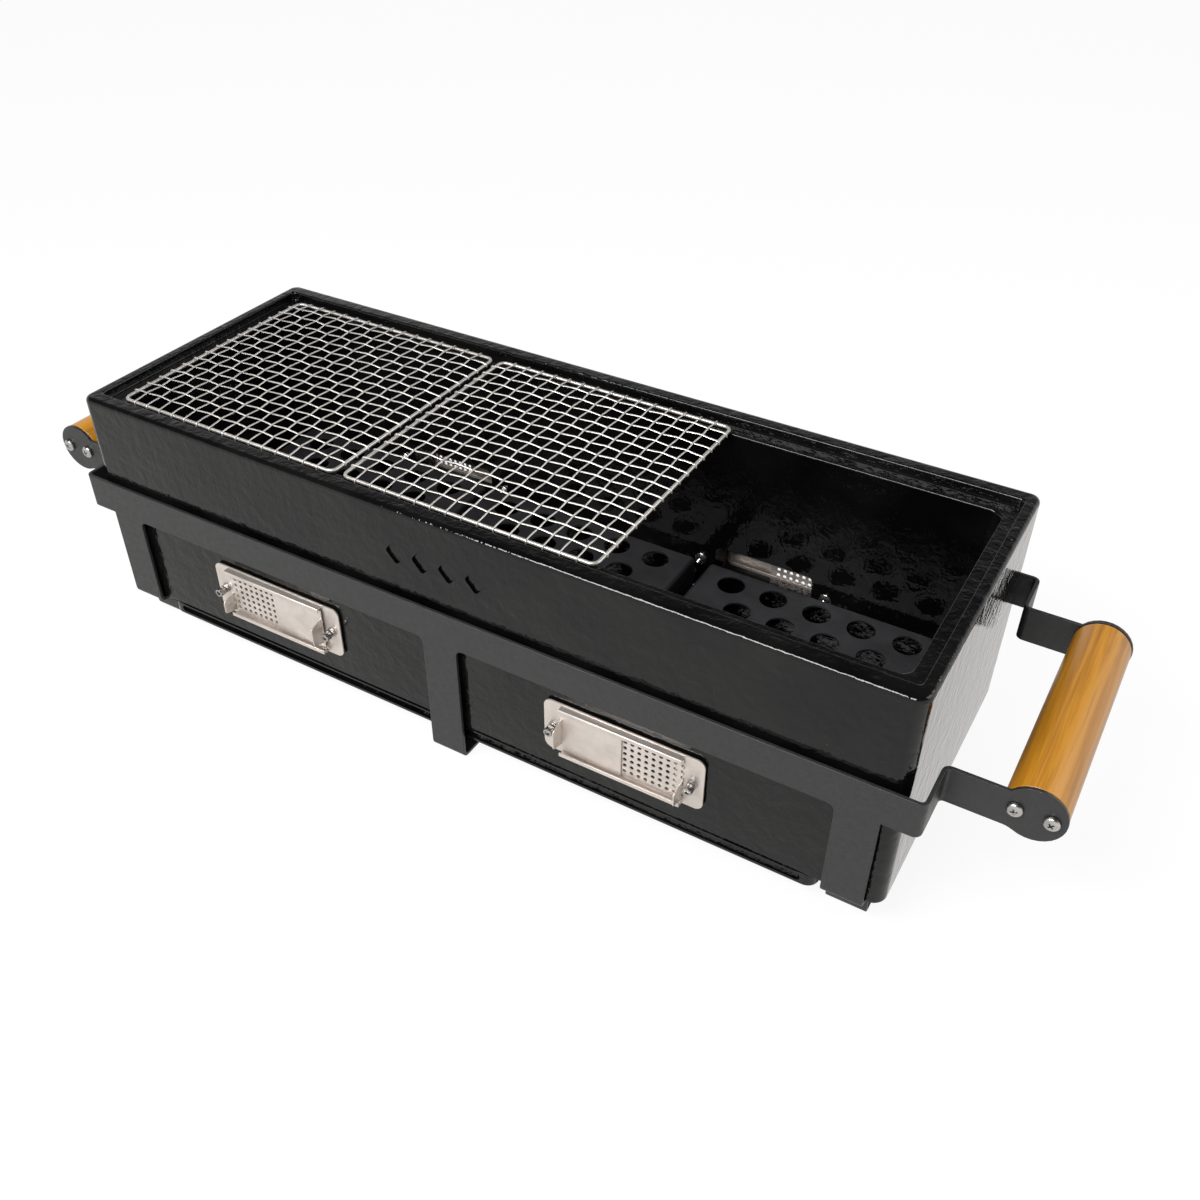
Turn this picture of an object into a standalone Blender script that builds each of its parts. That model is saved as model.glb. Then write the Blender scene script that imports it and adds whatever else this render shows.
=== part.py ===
"""Long tabletop charcoal grill: a glazed ceramic firebox held in a bent steel carrier.

Frame: origin at the centre of the bounding box's base, +X along the length, -Y is the front, +Z up.
Lengths below are millimetres; meshes are written in metres.
"""
import math

import bmesh
import bpy
from mathutils import Matrix, Vector
from mathutils.geometry import delaunay_2d_cdt

MM = 0.001

# ceramic firebox
body_length = 742.0
body_width = 270.0
rim_height = 227.0
body_base = 31.0
plinth_base = 17.0
plinth_setback = 50.0
plinth_inset = 1.0
rim_wall_side = 14.5
rim_wall_end = 10.0
ledge_depth = 8.0
ledge_side = 13.5
ledge_end = 11.0
floor_top = 52.0
corner_radius = 10.0
rim_round = 4.0
groove_height = 6.5
groove_deep = 4.0
groove_end = 12.0
mark_first_x = -41.0
mark_pitch = 24.5
mark_z = 187.0
mark_half_width = 9.0
mark_half_height = 10.5
mark_proud = 1.2

# steel carrier
sheet = 3.0
carrier_gap = 3.5
rail_top = 149.0
rail_height = 31.0
rail_overhang = 14.5
leg_width = 32.0
outer_leg_setback = 28.5
centre_leg_x = -2.0
window_fillet = 6.0
bend_radius = 4.5
shelf_reach = 25.0
strap_inset = 14.5

# handles
flange_reach = 41.5
arm_length = 59.5
arm_fillet = 15.0
arm_share = 0.9
disc_z = 136.0
disc_radius = 22.1
disc_lip = 0.5
wood_round = 1.2
handle_screw_spacing = 24.0
handle_screw_head = 5.7
handle_screw_shank = 2.5
handle_screw_length = 22.0
handle_screw_bore = 3.0

# vents
channel_length = 104.0
vent_end = 16.5
vent_height = 50.0
vent_plate_near = 1.8
vent_plate_thick = 1.5
channel_reach = 6.2
channel_lip = 4.5
channel_wall = 1.2
channel_edge = 0.5
slot_end = 6.0
slot_height = 36.0
slot_corner = 6.0
vent_screw_offset = 7.5
vent_shank = 2.0
panel_height = 42.0
panel_thick = 1.0
screen_hole = 1.5
screen_pitch = 6.0
tab_reach = 12.5
# charcoal plates
coal_height = 39.0
coal_joint = 46.0 / 3.0
coal_side = 10.5
coal_gap_left = 9.0
coal_gap_right = 14.0
coal_mid_x = -6.0
coal_thick = 2.0
coal_hole = 12.0
coal_pitch_x = 39.6
coal_pitch_y = 31.0
coal_hole_edge = 3.0

# cooking grates
grate_joint = 26.0 / 3.0
grate_side = 7.5
grate_gap_left = 13.0
grate_spacing = 6.5
grate_y = 1.0
border_rod = 1.75
top_rod = 1.3
mesh_wire = 1.0
mesh_cells = 16
wire_overhang_x = 1.1
wire_overhang_y = 0.3

# clearances
gap = 0.35
slide_gap = 0.45

# sizes that follow from the ones above
half_x = body_length / 2.0
half_y = body_width / 2.0
rim_x = half_x - rim_wall_end
rim_y = half_y - rim_wall_side
cave_x = rim_x - ledge_end
cave_y = rim_y - ledge_side
ledge_z = rim_height - ledge_depth
plinth_x = half_x - plinth_setback
plinth_y = half_y - plinth_inset
outer_leg_x = half_x - outer_leg_setback
arm_face = half_y + carrier_gap + sheet - flange_reach
disc_x = half_x + rail_overhang + arm_length
wood_radius = disc_radius - disc_lip
vent_length = channel_length + 2.0 * vent_end
vent_screw_x = channel_length / 2.0 + vent_screw_offset
slot_length = channel_length - 2.0 * slot_end
quarter_x = half_x / 2.0
coal_top = floor_top + coal_height
coal_length = 2.0 * cave_x / 3.0 - coal_joint
coal_width = 2.0 * (cave_y - coal_side)
grate_length = 2.0 * rim_x / 3.0 - grate_joint
grate_width = 2.0 * (rim_y - grate_side)
grate_left_x = -rim_x + grate_gap_left + grate_length / 2.0

# each vent: name, centre x, centre z, side (-1 front, 1 rear), end with the screen (-1 left, 1 right)
vents = (
    ("fl", -(quarter_x - 8.5), 79.0, -1.0, -1.0),
    ("fr", quarter_x - 24.5, 79.0, -1.0, 1.0),
    ("rl", -(quarter_x - 16.5), 85.0, 1.0, -1.0),
    ("rr", quarter_x - 21.5, 85.0, 1.0, 1.0),
)
coal_plates = (
    ("left", -cave_x + coal_gap_left + coal_length / 2.0),
    ("mid", coal_mid_x),
    ("right", cave_x - coal_gap_right - coal_length / 2.0),
)
grates = (("left", grate_left_x), ("mid", grate_left_x + grate_length + grate_spacing))


def clear_scene():
    for ob in list(bpy.data.objects):
        bpy.data.objects.remove(ob, do_unlink=True)
    for me in list(bpy.data.meshes):
        bpy.data.meshes.remove(me)


def make_material(name, colour, metallic, roughness):
    mat = bpy.data.materials.new(name)
    mat.use_nodes = True
    shader = mat.node_tree.nodes["Principled BSDF"]
    shader.inputs["Base Color"].default_value = (*colour, 1.0)
    shader.inputs["Metallic"].default_value = metallic
    shader.inputs["Roughness"].default_value = roughness
    return mat


def add_object(name, parts, look):
    """One object from a list of (verts, faces) solids in millimetres."""
    bm = bmesh.new()
    for verts, faces in parts:
        made = [bm.verts.new(Vector(v) * MM) for v in verts]
        for face in faces:
            bm.faces.new([made[i] for i in face])
    bmesh.ops.recalc_face_normals(bm, faces=bm.faces)
    mesh = bpy.data.meshes.new(name)
    bm.to_mesh(mesh)
    bm.free()
    ob = bpy.data.objects.new(name, mesh)
    bpy.context.scene.collection.objects.link(ob)
    colour, metallic, roughness = look
    ob.data.materials.append(make_material(name + "_mat", colour, metallic, roughness))
    return ob


def bake(ob):
    """Replace the object's mesh by the result of its modifiers."""
    graph = bpy.context.evaluated_depsgraph_get()
    result = bpy.data.meshes.new_from_object(ob.evaluated_get(graph))
    old = ob.data
    ob.modifiers.clear()
    ob.data = result
    result.name = ob.name
    bpy.data.meshes.remove(old)
    tidy = bmesh.new()
    tidy.from_mesh(result)
    bmesh.ops.remove_doubles(tidy, verts=tidy.verts, dist=0.000002)
    bmesh.ops.dissolve_degenerate(tidy, edges=tidy.edges, dist=0.000002)
    bmesh.ops.recalc_face_normals(tidy, faces=tidy.faces)
    tidy.to_mesh(result)
    tidy.free()


def combine(ob, parts, operation):
    """Cut solids out of an object, or join them to it, with an exact boolean."""
    tool = add_object(ob.name + "_tool", parts, ((0.5, 0.5, 0.5), 0.0, 0.5))
    mod = ob.modifiers.new("shape", "BOOLEAN")
    mod.operation = operation
    mod.solver = "EXACT"
    mod.object = tool
    bake(ob)
    mesh = tool.data
    bpy.data.objects.remove(tool, do_unlink=True)
    bpy.data.meshes.remove(mesh)


def arc(cx, cy, r, start, end, steps):
    out = []
    for i in range(steps + 1):
        a = math.radians(start + (end - start) * i / steps)
        out.append((cx + r * math.cos(a), cy + r * math.sin(a)))
    return out


def circle(cx, cy, r, steps):
    return arc(cx, cy, r, 0.0, 360.0, steps)[:-1]


def rounded_rect(hx, hy, r, steps=4, cx=0.0, cy=0.0):
    pts = []
    pts += arc(cx + hx - r, cy + hy - r, r, 0.0, 90.0, steps)
    pts += arc(cx - hx + r, cy + hy - r, r, 90.0, 180.0, steps)
    pts += arc(cx - hx + r, cy - hy + r, r, 180.0, 270.0, steps)
    pts += arc(cx + hx - r, cy - hy + r, r, 270.0, 360.0, steps)
    return pts


def loft(loops):
    """Closed solid through loops of equal length, capped at the first and the last."""
    n = len(loops[0])
    verts = [p for loop in loops for p in loop]
    faces = []
    for k in range(len(loops) - 1):
        for i in range(n):
            j = (i + 1) % n
            faces.append((k * n + i, k * n + j, (k + 1) * n + j, (k + 1) * n + i))
    faces.append(tuple(reversed(range(n))))
    faces.append(tuple((len(loops) - 1) * n + i for i in range(n)))
    return verts, faces


def place(outline, level, axis):
    """Points of an outline in the plane across an axis, at a level on it."""
    if axis == "x":
        return [(level, a, b) for a, b in outline]
    if axis == "y":
        return [(a, level, b) for a, b in outline]
    return [(a, b, level) for a, b in outline]


def prism(outline, low, high, axis):
    return loft([place(outline, low, axis), place(outline, high, axis)])


def revolve(profile, centre, axis, direction, steps):
    """Solid of revolution; the profile is (distance along, radius) from the centre."""
    loops = []
    for along, r in profile:
        a, b = [c for c, n in zip(centre, "xyz") if n != axis]
        base = centre["xyz".index(axis)]
        loops.append(place(circle(a, b, r, steps), base + direction * along, axis))
    return loft(loops)


def collar(inner, levels, centre, axis, steps):
    """Ring around a bore; each level is (distance along, outer radius, corner count or 0 for round)."""
    a, b = [c for c, n in zip(centre, "xyz") if n != axis]
    base = centre["xyz".index(axis)]
    inside = circle(a, b, inner, steps)
    loops = [place(inside, base + levels[0][0], axis)]
    for along, outer, corners in levels:
        outside = []
        for k in range(steps):
            turn = 2.0 * math.pi * k / steps
            reach = outer
            if corners:
                wedge = 2.0 * math.pi / corners
                local = (turn % wedge) - wedge / 2.0
                reach = outer * math.cos(wedge / 2.0) / math.cos(local)
            outside.append((a + reach * math.cos(turn), b + reach * math.sin(turn)))
        loops.append(place(outside, base + along, axis))
    loops.append(place(inside, base + levels[-1][0], axis))
    verts = [p for loop in loops for p in loop]
    faces = []
    for k in range(len(loops)):
        m = (k + 1) % len(loops)
        for i in range(steps):
            j = (i + 1) % steps
            faces.append((k * steps + i, k * steps + j, m * steps + j, m * steps + i))
    return verts, faces


def inside(x, y, outline):
    """Whether a point lies in a closed 2-D outline."""
    odd = False
    for i, (x1, y1) in enumerate(outline):
        x0, y0 = outline[i - 1]
        if (y0 > y) != (y1 > y) and x < (x1 - x0) * (y - y0) / (y1 - y0) + x0:
            odd = not odd
    return odd


def flat_mesh(outline, holes):
    """Triangles covering an outline less its holes, as 2-D points and index triples."""
    pts = [Vector(p) for p in outline]
    loops = [list(range(len(outline)))]
    for hole in holes:
        loops.append(list(range(len(pts), len(pts) + len(hole))))
        pts += [Vector(p) for p in hole]
    edges = []
    for loop in loops:
        edges += [(loop[i], loop[(i + 1) % len(loop)]) for i in range(len(loop))]
    out = delaunay_2d_cdt(pts, edges, [], 0, 0.0001)
    flat = [tuple(v) for v in out[0]]
    kept = []
    for face in out[2]:
        x = sum(flat[i][0] for i in face) / 3.0
        y = sum(flat[i][1] for i in face) / 3.0
        if inside(x, y, outline) and not any(inside(x, y, hole) for hole in holes):
            kept.append(tuple(face))
    return flat, kept


def perforated(outline, holes, low, high, axis):
    """Flat sheet with holes."""
    pts, tris = flat_mesh(outline, holes)
    n = len(pts)
    verts = place(pts, low, axis) + place(pts, high, axis)
    faces = [tuple(reversed(t)) for t in tris] + [tuple(i + n for i in t) for t in tris]
    count = {}
    for t in tris:
        for i in range(3):
            edge = (t[i], t[(i + 1) % 3])
            count[edge] = count.get(edge, 0) + 1
    for a, b in count:
        if (b, a) not in count:
            faces.append((a, b, b + n, a + n))
    return verts, faces


def strip_outline(points, thick, radius, steps=4):
    """Outline of a flat bar bent along a path of points, seen on its edge."""
    path = []
    for i, p in enumerate(points):
        here = Vector(p)
        if i in (0, len(points) - 1):
            other = Vector(points[1]) if i == 0 else Vector(points[-2])
            way = (other - here) if i == 0 else (here - other)
            path.append((here, way.normalized()))
            continue
        before = (here - Vector(points[i - 1])).normalized()
        after = (Vector(points[i + 1]) - here).normalized()
        turn = before.angle_signed(after)
        back = radius * math.tan(abs(turn) / 2.0)
        side = 1.0 if turn < 0.0 else -1.0
        normal = Vector((-before.y, before.x)) * side
        centre = here - before * back + normal * radius
        for k in range(steps + 1):
            swing = -turn * k / steps
            way = Vector((before.x * math.cos(swing) - before.y * math.sin(swing),
                          before.x * math.sin(swing) + before.y * math.cos(swing)))
            out = Vector((-way.y, way.x)) * side
            path.append((centre - out * radius, way))
    left = [(p.x - w.y * thick / 2.0, p.y + w.x * thick / 2.0) for p, w in path]
    right = [(p.x + w.y * thick / 2.0, p.y - w.x * thick / 2.0) for p, w in path]
    return left + list(reversed(right))


def thicken(name, faces3d, thick, look):
    """Bent sheet: faces of its middle surface, given thickness."""
    bm = bmesh.new()
    for face in faces3d:
        bm.faces.new([bm.verts.new(Vector(p) * MM) for p in face])
    bmesh.ops.remove_doubles(bm, verts=bm.verts, dist=0.000005)
    bmesh.ops.recalc_face_normals(bm, faces=bm.faces)
    mesh = bpy.data.meshes.new(name)
    bm.to_mesh(mesh)
    bm.free()
    ob = bpy.data.objects.new(name, mesh)
    bpy.context.scene.collection.objects.link(ob)
    colour, metallic, roughness = look
    mesh.materials.append(make_material(name + "_mat", colour, metallic, roughness))
    mod = ob.modifiers.new("sheet", "SOLIDIFY")
    mod.thickness = thick * MM
    mod.offset = 0.0
    mod.use_even_offset = True
    bake(ob)
    return ob


ceramic = ((0.018, 0.018, 0.019), 0.0, 0.12)
coated = ((0.07, 0.07, 0.073), 0.2, 0.5)
timber = ((0.62, 0.36, 0.12), 0.0, 0.35)
stainless = ((0.62, 0.6, 0.57), 1.0, 0.3)
hot_steel = ((0.05, 0.05, 0.055), 0.4, 0.55)


def build_body():
    def loop(hx, hy, r, z):
        return place(rounded_rect(hx, hy, r), z, "z")

    loops = [loop(plinth_x, plinth_y, corner_radius, plinth_base)]
    loops.append(loop(plinth_x, plinth_y, corner_radius, body_base))
    loops.append(loop(half_x - 2.0, half_y - 2.0, corner_radius - 2.0, body_base))
    loops.append(loop(half_x, half_y, corner_radius, body_base + 2.0))
    for i in range(4):
        a = math.radians(30.0 * i)
        inset = rim_round * (1.0 - math.cos(a))
        level = rim_height - rim_round + rim_round * math.sin(a)
        loops.append(loop(half_x - inset, half_y - inset, corner_radius - inset * 0.5, level))
    loops.append(loop(rim_x + 1.5, rim_y + 1.5, 6.0, rim_height))
    loops.append(loop(rim_x + 0.4, rim_y + 0.4, 5.0, rim_height - 0.6))
    loops.append(loop(rim_x, rim_y, 4.6, rim_height - 2.0))
    loops.append(loop(rim_x, rim_y, 4.6, ledge_z))
    loops.append(loop(cave_x + 1.5, cave_y + 1.5, 12.5, ledge_z))
    loops.append(loop(cave_x, cave_y, 11.0, ledge_z - 1.5))
    loops.append(loop(cave_x, cave_y, 11.0, floor_top + 8.0))
    loops.append(loop(cave_x - 2.4, cave_y - 2.4, 10.0, floor_top + 2.4))
    loops.append(loop(cave_x - 8.0, cave_y - 8.0, 6.0, floor_top))
    body = add_object("body", [loft(loops)], ceramic)
    cuts = []
    for tag, cx, cz, side, perf in vents:
        low, high = sorted((side * (cave_y - 12.0), side * (half_y + 12.0)))
        window = rounded_rect(slot_length / 2.0, slot_height / 2.0, slot_corner, 4, cx, cz)
        cuts.append(prism(window, low, high, "y"))
        for s in (-1.0, 1.0):
            bore = circle(cx + s * vent_screw_x, cz, vent_shank + 0.6, 8)
            cuts.append(prism(bore, low, high, "y"))
    groove_z = (plinth_base + body_base) / 2.0 - 0.3
    for side in (-1.0, 1.0):
        low, high = sorted((side * (plinth_y - groove_deep), side * (half_y + 3.0)))
        half = plinth_x - groove_end
        groove = rounded_rect(half, groove_height / 2.0, groove_height / 2.0 - 0.05, 4, 0.0, groove_z)
        cuts.append(prism(groove, low, high, "y"))
    combine(body, cuts, "DIFFERENCE")
    marks = []
    for i in range(4):
        cx = mark_first_x + mark_pitch * i
        lozenge = [(cx - mark_half_width, mark_z), (cx, mark_z - mark_half_height)]
        lozenge += [(cx + mark_half_width, mark_z), (cx, mark_z + mark_half_height)]
        marks.append(prism(lozenge, -half_y - mark_proud, -half_y + 2.0, "y"))
    combine(body, marks, "UNION")
    return body


def leg_foot(x0, x1, start, level, inward, mid):
    """Middle-surface faces of a leg's lower bend and the shelf behind it."""
    r = bend_radius
    faces = []
    pts = arc(mid + inward * r, start, r, 180.0 if inward > 0 else 0.0, 270.0, 4)
    if inward < 0:
        pts = arc(mid + inward * r, start, r, 0.0, -90.0, 4)
    pts.append((mid + inward * shelf_reach, level))
    for a, b in zip(pts, pts[1:]):
        faces.append([(x0, a[0], a[1]), (x1, a[0], a[1]), (x1, b[0], b[1]), (x0, b[0], b[1])])
    return faces


def build_carrier(name, side):
    """Rail, three legs, both end flanges and both handle arms, bent from one sheet."""
    mid = side * (half_y + carrier_gap + sheet / 2.0)
    inward = -side
    low = rail_top - rail_height
    end = half_x + rail_overhang - sheet / 2.0
    r = bend_radius
    shelf_outer = body_base - gap - sheet / 2.0
    shelf_centre = sheet / 2.0
    legs = []
    feet = ((-outer_leg_x, shelf_outer), (centre_leg_x, shelf_centre), (outer_leg_x, shelf_outer))
    for cx, level in feet:
        legs.append((cx - leg_width / 2.0, cx + leg_width / 2.0, level))
    f = window_fillet
    outline = [(-(end - r), low)]
    for k, (x0, x1, level) in enumerate(legs):
        if k == 0:
            outline.append((x0, low))
        else:
            outline += arc(x0 - f, low - f, f, 90.0, 0.0, 4)
        outline.append((x0, level + r))
        outline.append((x1, level + r))
        if k == 2:
            outline.append((x1, low))
        else:
            outline += arc(x1 + f, low - f, f, 180.0, 90.0, 4)
    outline.append((end - r, low))
    outline.append((end - r, rail_top))
    outline.append((-(end - r), rail_top))
    pts, tris = flat_mesh(outline, [])
    faces = [[(pts[i][0], mid, pts[i][1]) for i in t] for t in tris]
    for x0, x1, level in legs:
        faces += leg_foot(x0, x1, level + r, level, inward, mid)
    arm_mid = side * (arm_face - sheet / 2.0)
    for s in (-1.0, 1.0):
        a0, a1 = (90.0, 0.0)
        first = arc(end - r, 0.0, r, a0, a1, 4)
        path = [(s * x, mid + inward * (r - y)) for x, y in first]
        second = arc(end + r, 0.0, r, 180.0, 270.0, 4)
        path += [(s * x, arm_mid - inward * (r + y)) for x, y in second]
        for a, b in zip(path, path[1:]):
            lower = [(a[0], a[1], low), (b[0], b[1], low)]
            faces.append(lower + [(b[0], b[1], rail_top), (a[0], a[1], rail_top)])
        down = min(disc_z - low, arm_share * disc_radius)
        up = min(rail_top - disc_z, arm_share * disc_radius)
        spread = math.sqrt((disc_radius + arm_fillet) ** 2 - (down + arm_fillet) ** 2)
        meet = math.degrees(math.atan2(down + arm_fillet, spread))
        stop = math.degrees(math.atan2(up, -math.sqrt(disc_radius ** 2 - up ** 2)))
        plate = [(end + r, low)]
        plate += arc(disc_x - spread, disc_z - down - arm_fillet, arm_fillet, 90.0, meet, 3)
        plate += arc(disc_x, disc_z, disc_radius, meet - 180.0, stop, 22)[1:]
        plate.append((end + r, rail_top))
        holes = []
        for k in (-1.0, 1.0):
            holes.append(circle(disc_x + k * handle_screw_spacing / 2.0, disc_z, handle_screw_bore, 10))
        pts, tris = flat_mesh(plate, holes)
        faces += [[(s * pts[i][0], arm_mid, pts[i][1]) for i in t] for t in tris]
    return thicken(name, faces, sheet, coated)


def build_straps():
    reach = half_y + carrier_gap + sheet / 2.0 - shelf_reach
    for tag, cx in (("left", -outer_leg_x), ("right", outer_leg_x)):
        run = half_y - strap_inset
        top = body_base - gap - sheet - gap
        level = sheet / 2.0
        path = [(-run, top), (-run, level), (run, level), (run, top)]
        outline = strip_outline(path, sheet, bend_radius)
        x0 = cx - leg_width / 2.0
        add_object("strap_" + tag, [prism(outline, x0, x0 + leg_width, "x")], coated)
    x0 = centre_leg_x - leg_width / 2.0
    x1 = centre_leg_x + leg_width / 2.0
    bar = [(x0, 0.0), (x1, 0.0), (x1, sheet), (x0, sheet)]
    add_object("strap_centre", [prism(bar, -reach + gap, reach - gap, "y")], coated)


def build_handles():
    wood_half = arm_face - sheet - gap
    for tag, s in (("left", -1.0), ("right", 1.0)):
        end_radius = wood_radius - wood_round
        profile = [(-wood_half, end_radius), (-wood_half + wood_round, wood_radius)]
        profile += [(wood_half - wood_round, wood_radius), (wood_half, end_radius)]
        grip = revolve(profile, (s * disc_x, 0.0, disc_z), "y", 1.0, 32)
        wood = add_object("handle_" + tag, [grip], timber)
        bores = []
        for end, side in (("front", -1.0), ("rear", 1.0)):
            for place_name, k in (("inner", -s), ("outer", s)):
                x = s * disc_x + k * handle_screw_spacing / 2.0
                deep = wood_half - handle_screw_length - 2.0
                low, high = sorted((side * deep, side * (wood_half + 5.0)))
                bores.append(prism(circle(x, disc_z, handle_screw_bore, 10), low, high, "y"))
                h = handle_screw_head
                tip = -sheet - gap - handle_screw_length
                body = [(tip, handle_screw_shank * 0.7), (tip + 3.0, handle_screw_shank)]
                body += [(gap, handle_screw_shank), (gap, h), (gap + 1.2, h), (gap + 2.4, h * 0.87)]
                body += [(gap + 3.2, h * 0.62), (gap + 3.6, h * 0.25)]
                screw = revolve(body, (x, side * arm_face, disc_z), "y", side, 10)
                add_object("handle_" + tag + "_screw_" + end + "_" + place_name, [screw], stainless)
        combine(wood, bores, "DIFFERENCE")


def build_vent(tag, cx, cz, side, perf):
    """Base plate with folded channels, fixed screen, sliding shutter and the fasteners."""
    def at(u, v, w):
        return (cx + perf * u, side * (half_y + w), cz + v)

    def shift(solid):
        verts, faces = solid
        return [at(x, z, y) for x, y, z in verts], faces

    near = vent_plate_near
    far = near + vent_plate_thick
    outline = rounded_rect(vent_length / 2.0, vent_height / 2.0, 7.0, 4)
    window = rounded_rect(slot_length / 2.0 - 2.0, slot_height / 2.0 - 1.0, 4.0, 3)
    holes = [window]
    for s in (-1.0, 1.0):
        holes.append(circle(s * vent_screw_x, 0.0, vent_shank + 0.5, 8))
    base = shift(perforated(outline, holes, near, far, "y"))
    plate = add_object("vent_" + tag + "_plate", [base], stainless)
    lips = []
    for s in (-1.0, 1.0):
        z0 = s * (vent_height / 2.0 - channel_edge)
        z1 = s * (vent_height / 2.0 - channel_edge - channel_wall)
        z2 = s * (vent_height / 2.0 - channel_edge - channel_lip)
        w0 = far - 0.6
        w1 = far + channel_reach
        w2 = w1 - channel_wall
        bend = [(w0, z0), (w1, z0), (w1, z2), (w2, z2), (w2, z1), (w0, z1)]
        lips.append(shift(prism(bend, -channel_length / 2.0, channel_length / 2.0, "x")))
        boss = ((gap, 5.5, 0), (near + 0.3, 5.5, 0))
        lips.append(shift(collar(vent_shank + 0.9, boss, (s * vent_screw_x, 0.0, 0.0), "y", 8)))
    combine(plate, lips, "UNION")

    half = channel_length / 2.0
    rows = int((panel_height - 4.0) / screen_pitch)
    cols = int((half - 4.0) / screen_pitch)
    holes = []
    for i in range(cols):
        for j in range(rows):
            u = half - 5.0 - screen_pitch * i
            v = screen_pitch * (j - (rows - 1) / 2.0)
            holes.append(circle(u, v, screen_hole, 6))
    w0 = far + slide_gap
    w1 = w0 + panel_thick
    ph = panel_height / 2.0
    sheet_outline = [(-4.0, -ph), (half, -ph), (half, ph), (-4.0, ph)]
    mesh_sheet = shift(perforated(sheet_outline, holes, w0, w1, "y"))
    screen = add_object("vent_" + tag + "_screen", [mesh_sheet], stainless)
    tab = [(w0 + 0.2, -20.0), (w1 + tab_reach, -16.5), (w1 + tab_reach, -4.5), (w0 + 0.2, -1.0)]
    combine(screen, [shift(prism(tab, half - 1.5, half - 0.5, "x"))], "UNION")

    w2 = w1 + slide_gap
    w3 = w2 + panel_thick
    blank = [(-half, -ph), (1.0, -ph), (1.0, ph), (-half, ph)]
    shutter = add_object("vent_" + tag + "_shutter", [shift(prism(blank, w2, w3, "y"))], stainless)
    tab = [(w2 + 0.2, -13.0), (w3 + tab_reach, -9.0), (w3 + tab_reach, 9.0), (w2 + 0.2, 13.0)]
    combine(shutter, [shift(prism(tab, -half + 0.3, -half + 1.3, "x"))], "UNION")

    for name, s in (("left", -1.0), ("right", 1.0)):
        centre = (cx + s * vent_screw_x, 0.0, cz)
        face = half_y + far
        tip = cave_y - 9.0
        profile = [(tip, vent_shank * 0.6), (tip + 1.0, vent_shank), (face + gap, vent_shank)]
        profile += [(face + gap, 4.2), (face + gap + 3.2, 4.2), (face + gap + 3.2, vent_shank)]
        profile += [(face + 5.6, vent_shank), (face + 5.6, 3.75), (face + 10.2, 3.6)]
        profile += [(face + 10.2, 1.9), (face + 8.0, 1.9)]
        screw = revolve(profile, centre, "y", side, 8)
        add_object("vent_" + tag + "_screw_" + name, [screw], stainless)
        seat = cave_y - gap
        levels = [(seat, 4.8, 0), (seat - 1.0, 4.8, 0), (seat - 1.0, 4.0, 6), (seat - 4.2, 4.0, 6)]
        levels = [(side * along, outer, corners) for along, outer, corners in levels]
        nut = collar(vent_shank + gap + 0.1, levels, centre, "y", 12)
        add_object("vent_" + tag + "_nut_" + name, [nut], stainless)


def build_coal_plate(tag, cx):
    r = bend_radius
    mid = coal_top - coal_thick / 2.0
    hx = coal_length / 2.0 - coal_thick / 2.0
    hy = coal_width / 2.0
    outline = [(-(hx - r), -hy), (hx - r, -hy), (hx - r, hy), (-(hx - r), hy)]
    holes = []
    rows = max(2, int((coal_width - 10.0) / coal_pitch_y) + 1)
    full = int((coal_length - 2 * coal_hole - 24.0) / coal_pitch_x) + 1
    for j in range(rows):
        y = coal_pitch_y * ((rows - 1) / 2.0 - j)
        if abs(y) + coal_hole > hy - coal_hole_edge:
            continue
        count = full if j % 2 == 0 else full - 1
        for i in range(count):
            x = coal_pitch_x * (i - (count - 1) / 2.0)
            holes.append(circle(x, y, coal_hole, 10))
    pts, tris = flat_mesh(outline, holes)
    faces = [[(cx + pts[i][0], pts[i][1], mid) for i in t] for t in tris]
    for s in (-1.0, 1.0):
        path = [(s * x, z) for x, z in arc(hx - r, mid - r, r, 90.0, 0.0, 3)]
        path.append((s * hx, floor_top + gap))
        for a, b in zip(path, path[1:]):
            front = [(cx + a[0], -hy, a[1]), (cx + b[0], -hy, b[1])]
            faces.append(front + [(cx + b[0], hy, b[1]), (cx + a[0], hy, a[1])])
    thicken("coal_plate_" + tag, faces, coal_thick, hot_steel)


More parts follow.
